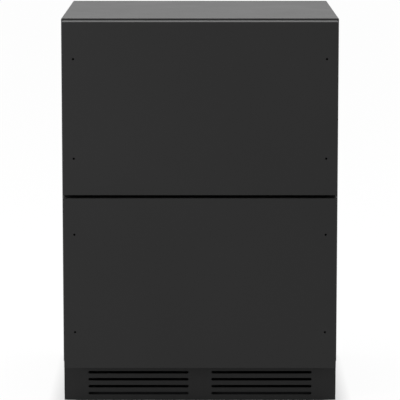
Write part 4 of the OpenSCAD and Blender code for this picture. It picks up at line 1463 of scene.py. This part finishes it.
    def relay_bail(self) -> None:
        """The spring bail that holds the relay box on: a bar across it and two arms."""
        low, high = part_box("compressor_relay_box")
        radius, z = self.bail_radius, high.z - self.bail_drop
        gap = radius + self.bail_gap
        x, start, end = low.x - radius, low.y - gap, high.y + gap
        bar, arm = (Axis.Y, end - start), (Axis.X, self.bail_arm)
        rods = [
            Piece("rod").rod((x, y, z), axis, radius, length, 16).soften(0.5 * MM)
            for y, (axis, length) in ((start, bar), (start, arm), (end, arm))
        ]
        Piece.joined("relay_cover_bail", rods).finish(BRIGHT_ZINC, Body.CABINET)

    def fan_motor_ribs(self) -> None:
        """Cooling ribs round the condenser fan's motor."""
        low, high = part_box("condenser_fan_motor")
        x, z = (low.x + high.x) / 2, (low.z + high.z) / 2
        half, top = self.motor_rib_half, z + (high.x - low.x) / 2
        start, end = self.motor_rib_along
        near = (x - half, high.y - start, top - self.motor_rib_sink)
        far = (x + half, high.y - end, top + self.motor_rib_rise)
        rib = Piece("condenser_motor_ribs").block(near, far)
        rib.soften(0.4 * MM).pick_all()
        circle = {"angle": math.tau, "center": (x, 0.0, z), "axis": Axis.Y.value}
        bpy.ops.mesh.spin(steps=self.motor_ribs, dupli=True, **circle)
        rib.done().outward().finish(MOTOR_BLACK, Body.CABINET)


@dataclass
class ColdSpace:
    """The liner, the evaporator behind its duct, the lamps and the touch control."""

    lamp_half_x: float = 140 * MM
    lamp_half_y: float = 9 * MM
    lamp_height: float = 6 * MM
    lamp_end: float = 7 * MM
    tray_lift: float = 1.8 * MM
    tray_wall: float = 1.4 * MM
    tray_depth: float = 1.6 * MM
    end_side: float = 0.3 * MM
    end_gap: float = 0.2 * MM
    end_head: float = 1.5 * MM
    lens_side: float = 1.6 * MM
    lens_head: float = 2.2 * MM
    lens_round: float = 2.2 * MM
    upper_lamp_y: float = -118 * MM
    lower_lamp_y: float = -219 * MM
    outlet_z: float = 716 * MM
    outlet_radius: float = 53 * MM
    outlet_bore: float = 48.6 * MM
    border_inset: Pair = (12 * MM, 10 * MM)
    border_width: float = 4 * MM
    border_rise: float = 1.0 * MM
    outlet_rise: float = 1.4 * MM
    outlet_thick: float = 1.5 * MM
    cap_radius: float = 6 * MM
    cap_height: float = 1.6 * MM
    cap_round: float = 1.1 * MM
    cap_margins: Point = (26 * MM, 104 * MM, 24 * MM)
    touch_rings_at: Sequence[float] = (-60 * MM, -36 * MM, 36 * MM, 60 * MM)
    touch_ring: Pair = (4.2 * MM, 3.7 * MM)
    touch_bar_half: Pair = (14 * MM, 0.4 * MM)
    ink: float = 0.12 * MM
    print_sink: float = 0.1 * MM
    print_drop: float = 0.72 * MM

    def build(self) -> None:
        """Dresses the tub and models lamps, control marks and duct trim."""
        dress(LINER_GREY, "inner_liner")
        dress(DUCT_GREY, "evaporator_cover")
        dress(EVAPORATOR_FINS, "evaporator")
        dress(MOTOR_BLACK, "evaporator_fan_motor", "evaporator_fan")
        dress(TRIM_BLACK, "control_housing")
        dress(GLASS_BLACK, "control_glass")
        lower_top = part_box("lamp_strips")[0].z + self.lamp_height
        self.lamp(Drawer.UPPER, self.upper_lamp_y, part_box("control_housing")[1].z)
        self.lamp(Drawer.LOWER, self.lower_lamp_y, lower_top)
        self.control_marks()
        self.duct_border()
        self.duct_caps()

    def lamp(self, drawer: Drawer, y: float, top: float) -> None:
        """One strip lamp: a tray with end caps, and a lens whose lower edges are round.

        Args:
            drawer: the drawer that it lights.
            y: the middle of its width.
            top: where it meets the ceiling.
        """
        half_x, half_y, bottom = self.lamp_half_x, self.lamp_half_y, top - self.lamp_height
        near, far = (-half_x, y - half_y, bottom + self.tray_lift), (half_x, y + half_y, top)
        tray = Piece("tray").block(near, far)
        tray.pick_side(DOWN).inset(self.tray_wall).extrude((0.0, 0.0, self.tray_depth)).done()
        parts, inset, gap = [tray.soften(0.5 * MM)], self.end_side, self.end_gap
        for side in (-1, 1):
            left, right = sorted((side * (half_x - self.lamp_end), side * (half_x - gap)))
            far = (right, y + half_y - inset, top - self.end_head)
            end = Piece("end").block((left, y - half_y + inset, bottom + gap), far)
            parts.append(end.soften(0.9 * MM, 3))
        Piece.joined(drawer.part("lamp_tray"), parts).finish(TRAY_WHITE, Body.CABINET)
        half_x, half_y = half_x - self.lamp_end, half_y - self.lens_side
        lens = Piece(drawer.part("lamp_lens"))
        lens.block((-half_x, y - half_y, bottom), (half_x, y + half_y, top - self.lens_head))
        lens.pick_edges(lambda a, b: max(a.z, b.z) < bottom + PAST and abs(a.x - b.x) > half_x)
        lens.bevel(self.lens_round, 5).done().finish(LENS, Body.CABINET, ["lamp_strips"])

    def control_marks(self) -> None:
        """Plain printed touch marks on the sloping glass: four rings, and a bar between them."""
        low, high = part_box("control_glass")
        slope = math.atan2(low.z - high.z, high.y - low.y)
        y, z = (low.y + high.y) / 2, (low.z + high.z) / 2 - self.print_drop
        foot, form = z - self.print_sink, (Axis.Z, *self.touch_ring, self.ink, 40)
        marks = [Piece("ring").ring((x, y, foot), *form) for x in self.touch_rings_at]
        half_x, half_y = self.touch_bar_half
        near, far = (-half_x, y - half_y, foot), (half_x, y + half_y, foot + self.ink)
        bar = Piece("bar").block(near, far).pick_edges(lambda a, b: abs(a.z - b.z) > BITE)
        whole = Piece.joined("control_touch_marks", [*marks, bar.bevel(0.35 * MM, 3).done()])
        whole.pick_all().turn(-slope, "X", (0.0, y, z)).done().outward()
        whole.finish(PRINT_GREY, Body.CABINET)

    def duct_border(self) -> None:
        """A raised border round the air duct's face, and a ring round its outlet."""
        low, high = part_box("evaporator_cover")
        face, (side, foot) = low.y, self.border_inset
        border = Piece("border")
        border.sheet_xz((low.x + side, low.z + foot), (high.x - side, high.z - foot), face + BITE)
        border.pick_all().bevel(side, 6, "VERTICES").done()
        border.pick_faces(lambda c, n: True).inset(self.border_width).remove()
        border.modifier("SOLIDIFY", thickness=self.border_rise, offset=-1.0).soften(0.4 * MM)
        base = (0.0, face - self.outlet_rise, self.outlet_z)
        form = (Axis.Y, self.outlet_radius, self.outlet_bore, self.outlet_thick, 72)
        ring = Piece("ring").ring(base, *form).soften(0.6 * MM)
        Piece.joined("duct_border", [border, ring]).finish(DUCT_GREY, Body.CABINET)

    def duct_caps(self) -> None:
        """Domed caps over the duct's four screws."""
        low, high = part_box("evaporator_cover")
        face, rise, (side, foot, head) = low.y, self.cap_height, self.cap_margins
        columns, rows = (low.x + side, high.x - side), (low.z + foot, high.z - head)
        caps = []
        for x, z in product(columns, rows):
            cap = Piece("cap").rod((x, face - rise, z), Axis.Y, self.cap_radius, rise + PAST, 28)
            cap.pick_edges(lambda a, b: max(a.y, b.y) < face - rise + PAST)
            caps.append(cap.bevel(self.cap_round, 3).done())
        Piece.joined("duct_screw_caps", caps).finish(TRAY_WHITE, Body.CABINET)


@dataclass
class Legs:
    """Four levelling legs with moulded pads."""

    names: Sequence[str] = ("front_left", "front_right", "rear_left", "rear_right")
    pad_height: float = 4.5 * MM
    pad_shoulder: float = 1.5 * MM
    boss_inset: float = 3.5 * MM
    boss_slope: float = 1.0 * MM
    nut_radius: float = 12 * MM
    nut_height: float = 7.0 * MM
    nut_sink: float = 0.5 * MM
    nut_crown: Pair = (1.2 * MM, 0.4 * MM)
    thread_end: float = 1.5 * MM
    core_rise: float = 0.15 * MM
    stem_radius: float = 4.95 * MM
    root_radius: float = 4.15 * MM
    pitch: float = 1.5 * MM
    thread_steps: int = 20

    def build(self) -> None:
        """Models one leg at the first place, copies it to the others and finishes all four."""
        start, radius, top = self.place(self.names[0])
        pad, stem = self.pad(start, radius), self.stem(start, top)
        made = [(pad, stem)]
        for name in self.names[1:]:
            shift = self.place(name)[0] - start
            made.append((pad.copy("pad", shift), stem.copy("stem", shift)))
        for name, (pad, stem) in zip(self.names, made):
            pad.name, stem.name = f"{name}_leg_pad", f"{name}_leg_stem"
            pad.finish(PAD_BLACK, Body(f"{name}_foot"), [f"{name}_leg"])
            stem.finish(LEG_ZINC, Body(f"{name}_foot"), [f"{name}_leg"])

    @staticmethod
    def place(name: str) -> tuple[Vector, float, float]:
        """One leg's place on the floor, its radius and its height."""
        low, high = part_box(f"{name}_leg")
        return (low + high).to_2d().to_3d() / 2, (high.x - low.x) / 2, high.z

    def pad(self, centre: Vector, radius: float) -> Piece:
        """The moulded pad: a low disc with a raised boss and rounded edges.

        Args:
            centre: the leg's place on the floor.
            radius: the pad's radius.

        Returns:
            The pad.
        """
        shoulder, slope = self.pad_shoulder, self.boss_slope
        pad = Piece("pad").rod(centre, Axis.Z, radius, self.pad_height - shoulder, 56)
        pad.pick_side(UP).inset(shoulder).inset(self.boss_inset, slope)
        pad.extrude((0.0, 0.0, shoulder - slope)).done()
        return pad.soften(0.5 * MM, 3, 25.0).outward()

    def stem(self, centre: Vector, top: float) -> Piece:
        """The hexagon, the thread and the core that fills it.

        Args:
            centre: the leg's place on the floor.
            top: the stem's upper end.

        Returns:
            The three as one mesh.
        """
        x, y, floor = centre
        seat = (x, y, floor + self.pad_height)
        nut = Piece("nut").rod(seat, Axis.Z, self.nut_radius, self.nut_height, 6)
        nut.pick_ends(Axis.Z).inset(*self.nut_crown).done().soften(0.4 * MM, 2, 20.0)
        base = self.pad_height + self.nut_height - self.nut_sink
        thread = self.thread(int((top - base - self.thread_end) / self.pitch))
        thread.alone()
        thread.obj.location = (x, y, floor + base)
        thread.take().pick_all()
        bpy.ops.mesh.fill_holes(sides=0)
        thread.done().outward()
        radius = self.root_radius + self.core_rise
        core = Piece("core").rod((x, y, floor + base), Axis.Z, radius, top - base)
        core.pick_edges(lambda a, b: min(a.z, b.z) > top - PAST).bevel(1.2 * MM, 2).done()
        return nut.merge([thread, core])

    def thread(self, turns: int) -> Piece:
        """A helical thread round Z, swept from one tooth: root, crest and root.

        Args:
            turns: how many turns it makes.

        Returns:
            The open thread, which starts at the origin.
        """
        thread = Piece("thread")
        bpy.ops.mesh.primitive_plane_add(size=2 * MM, rotation=(QUARTER, 0.0, 0.0))
        thread.take().pick_points(lambda p: p.x > 0 and p.z > 0).remove("VERT")
        # The three corners that are left become the lower root, the crest and the upper root
        for test, radius, z in (
            (lambda p: p.x > 0, self.root_radius, 0.0),
            (lambda p: p.x < 0 and p.z < 0, self.stem_radius, self.pitch / 2),
            (lambda p: p.x < 0, self.root_radius, self.pitch),
        ):
            spot = next(point.co.copy() for point in thread.obj.data.vertices if test(point.co))
            thread.pick_points(lambda p: (p - spot).length < 0.1 * SAME)
            bpy.ops.transform.translate(value=Vector((radius, 0.0, z)) - spot)
            thread.done()
        sweep = {"steps": self.thread_steps, "render_steps": self.thread_steps, "iterations": turns}
        weld = {"use_merge_vertices": True, "merge_threshold": SAME}
        thread.modifier("SCREW", axis="Z", screw_offset=self.pitch, **sweep, **weld)
        return thread.modifier("WELD", merge_threshold=2 * SAME)


# ---------- Studio ----------


@dataclass(frozen=True)
class Softbox:
    """A square soft lamp that points at a place."""

    name: str
    at: Point
    aim: Point
    size: float
    power: float

    def build(self) -> None:
        """Adds the lamp."""
        data = bpy.data.lights.new(f"studio_{self.name}", "AREA")
        data.shape, data.size, data.energy = "SQUARE", self.size, self.power
        lamp = bpy.data.objects.new(data.name, data)
        bpy.context.scene.collection.objects.link(lamp)
        lamp.location = self.at
        lamp.rotation_euler = (Vector(self.aim) - lamp.location).to_track_quat("-Z", "Y").to_euler()


@dataclass
class Studio:
    """Pale floor, soft light and the camera at the photograph's angle.

    The distance and the rise place the camera in front of the fronts and above the top. Its focal
    length is in pixels of the picture.
    """

    distance: float = 5.4
    rise: float = 0.423
    tilt: float = 8.58
    picture: int = 400
    focal_pixels: float = 2506.0
    sensor: float = 36.0
    floor_size: float = 60.0
    floor_paint: float = 0.9
    floor_glow: float = 1.03
    glow_share: float = 0.9
    footprint: Point = (0.27, 0.24, 0.0)
    shade_width: float = 0.07
    sky_light: float = 0.62
    softboxes: Sequence[Softbox] = (
        Softbox("key", (-3.3, -3.1, 1.1), (0.0, -0.2, 0.4), 2.0, 66.0),
        Softbox("fill", (3.2, -2.8, 0.9), (0.0, -0.2, 0.4), 2.0, 9.0),
        Softbox("sheen", (-1.9, -4.0, 0.55), (0.0, -0.3, 0.4), 1.2, 15.0),
        Softbox("top", (0.0, 0.4, 3.6), (0.0, 0.2, 0.8), 2.6, 42.0),
    )

    def build(self) -> None:
        """Sets the view transform, floor, world, lamps and camera."""
        bpy.context.scene.view_settings.view_transform = "Standard"
        self.floor()
        self.world()
        for softbox in self.softboxes:
            softbox.build()
        self.camera()

    def floor(self) -> None:
        """A wide pale floor, white to the camera except for its shadow and the shade below."""
        Piece.clear()
        bpy.ops.mesh.primitive_plane_add(size=self.floor_size)
        ground = bpy.context.active_object
        ground.name = "studio_floor"
        material = bpy.data.materials.new("studio_white_floor")
        bench = NodeBench(material)
        paint = bench.node("BsdfDiffuse", {"Color": (*(self.floor_paint,) * 3, 1.0)})
        glow = bench.node("Emission", {"Color": WHITE, "Strength": self.floor_glow})
        ramp = {"From Max": self.shade_width, "To Max": self.glow_share}
        lit = bench.node("MapRange", {"Value": self.outside(bench), **ramp}).outputs["Result"]
        share = bench.node("Math", {0: self.seen(bench), 1: lit}, operation="MULTIPLY")
        shaders = {1: paint.outputs["BSDF"], 2: glow.outputs["Emission"]}
        blend = bench.node("MixShader", {"Fac": share.outputs["Value"], **shaders})
        bench.node("OutputMaterial", {"Surface": blend.outputs["Shader"]})
        ground.data.materials.append(material)

    def outside(self, bench: NodeBench) -> Socket:
        """How far a point of the floor lies outside the fridge's footprint.

        Args:
            bench: the floor's bench.

        Returns:
            The distance.
        """
        place = bench.coordinates["Object"]
        for operation, other in (
            ("ABSOLUTE", {}),
            ("SUBTRACT", {1: self.footprint}),
            ("MAXIMUM", {1: (0.0, 0.0, 0.0)}),
        ):
            step = bench.node("VectorMath", {0: place, **other}, operation=operation)
            place = step.outputs["Vector"]
        return bench.node("VectorMath", {0: place}, operation="LENGTH").outputs["Value"]

    @staticmethod
    def seen(bench: NodeBench) -> Socket:
        """Tells which rays are seen.

        Args:
            bench: the floor's or the world's bench.

        Returns:
            1 for rays from the camera, from gloss and through glass, and otherwise 0.
        """
        path = bench.node("LightPath", {}).outputs
        value = path["Is Camera Ray"]
        for kind in ("Is Glossy Ray", "Is Transmission Ray"):
            either = bench.node("Math", {0: value, 1: path[kind]}, operation="MAXIMUM")
            value = either.outputs["Value"]
        return value

    def world(self) -> None:
        """White to the camera, to gloss and to glass, and a soft grey light otherwise."""
        world = bpy.data.worlds.new("studio_world")
        bpy.context.scene.world = world
        bench = NodeBench(world)
        level = {"Value": self.seen(bench), "To Min": self.sky_light, "To Max": 1.0}
        strength = bench.node("MapRange", level).outputs["Result"]
        sky = bench.node("Background", {"Color": WHITE, "Strength": strength})
        bench.node("OutputWorld", {"Surface": sky.outputs["Background"]})

    def camera(self) -> None:
        """Puts the camera where the fronts and the sliver of top fill the frame."""
        low, high = CAD_BOX
        data = bpy.data.cameras.new("studio_camera")
        data.sensor_width = self.sensor
        data.lens = self.sensor * self.focal_pixels / self.picture
        view = bpy.data.objects.new("studio_camera", data)
        bpy.context.scene.collection.objects.link(view)
        view.location = (0.0, low.y - self.distance, high.z + self.rise)
        view.rotation_euler = (math.radians(90.0 - self.tilt), 0.0, 0.0)
        bpy.context.scene.camera = view


def main() -> None:
    """Builds the sub-assemblies in order, then the studio."""
    logging.basicConfig(level=logging.INFO, format="%(message)s")
    CabinetShell().build()
    for drawer in Drawer:
        Gasket(drawer).build()
        DrawerFront(drawer).build()
    for kind in (StorageBin, SlideTrim):
        for drawer in Drawer:
            kind(drawer).build()
    MachineBay().build()
    ColdSpace().build()
    Legs().build()
    Studio().build()


if __name__ == "__main__":
    main()
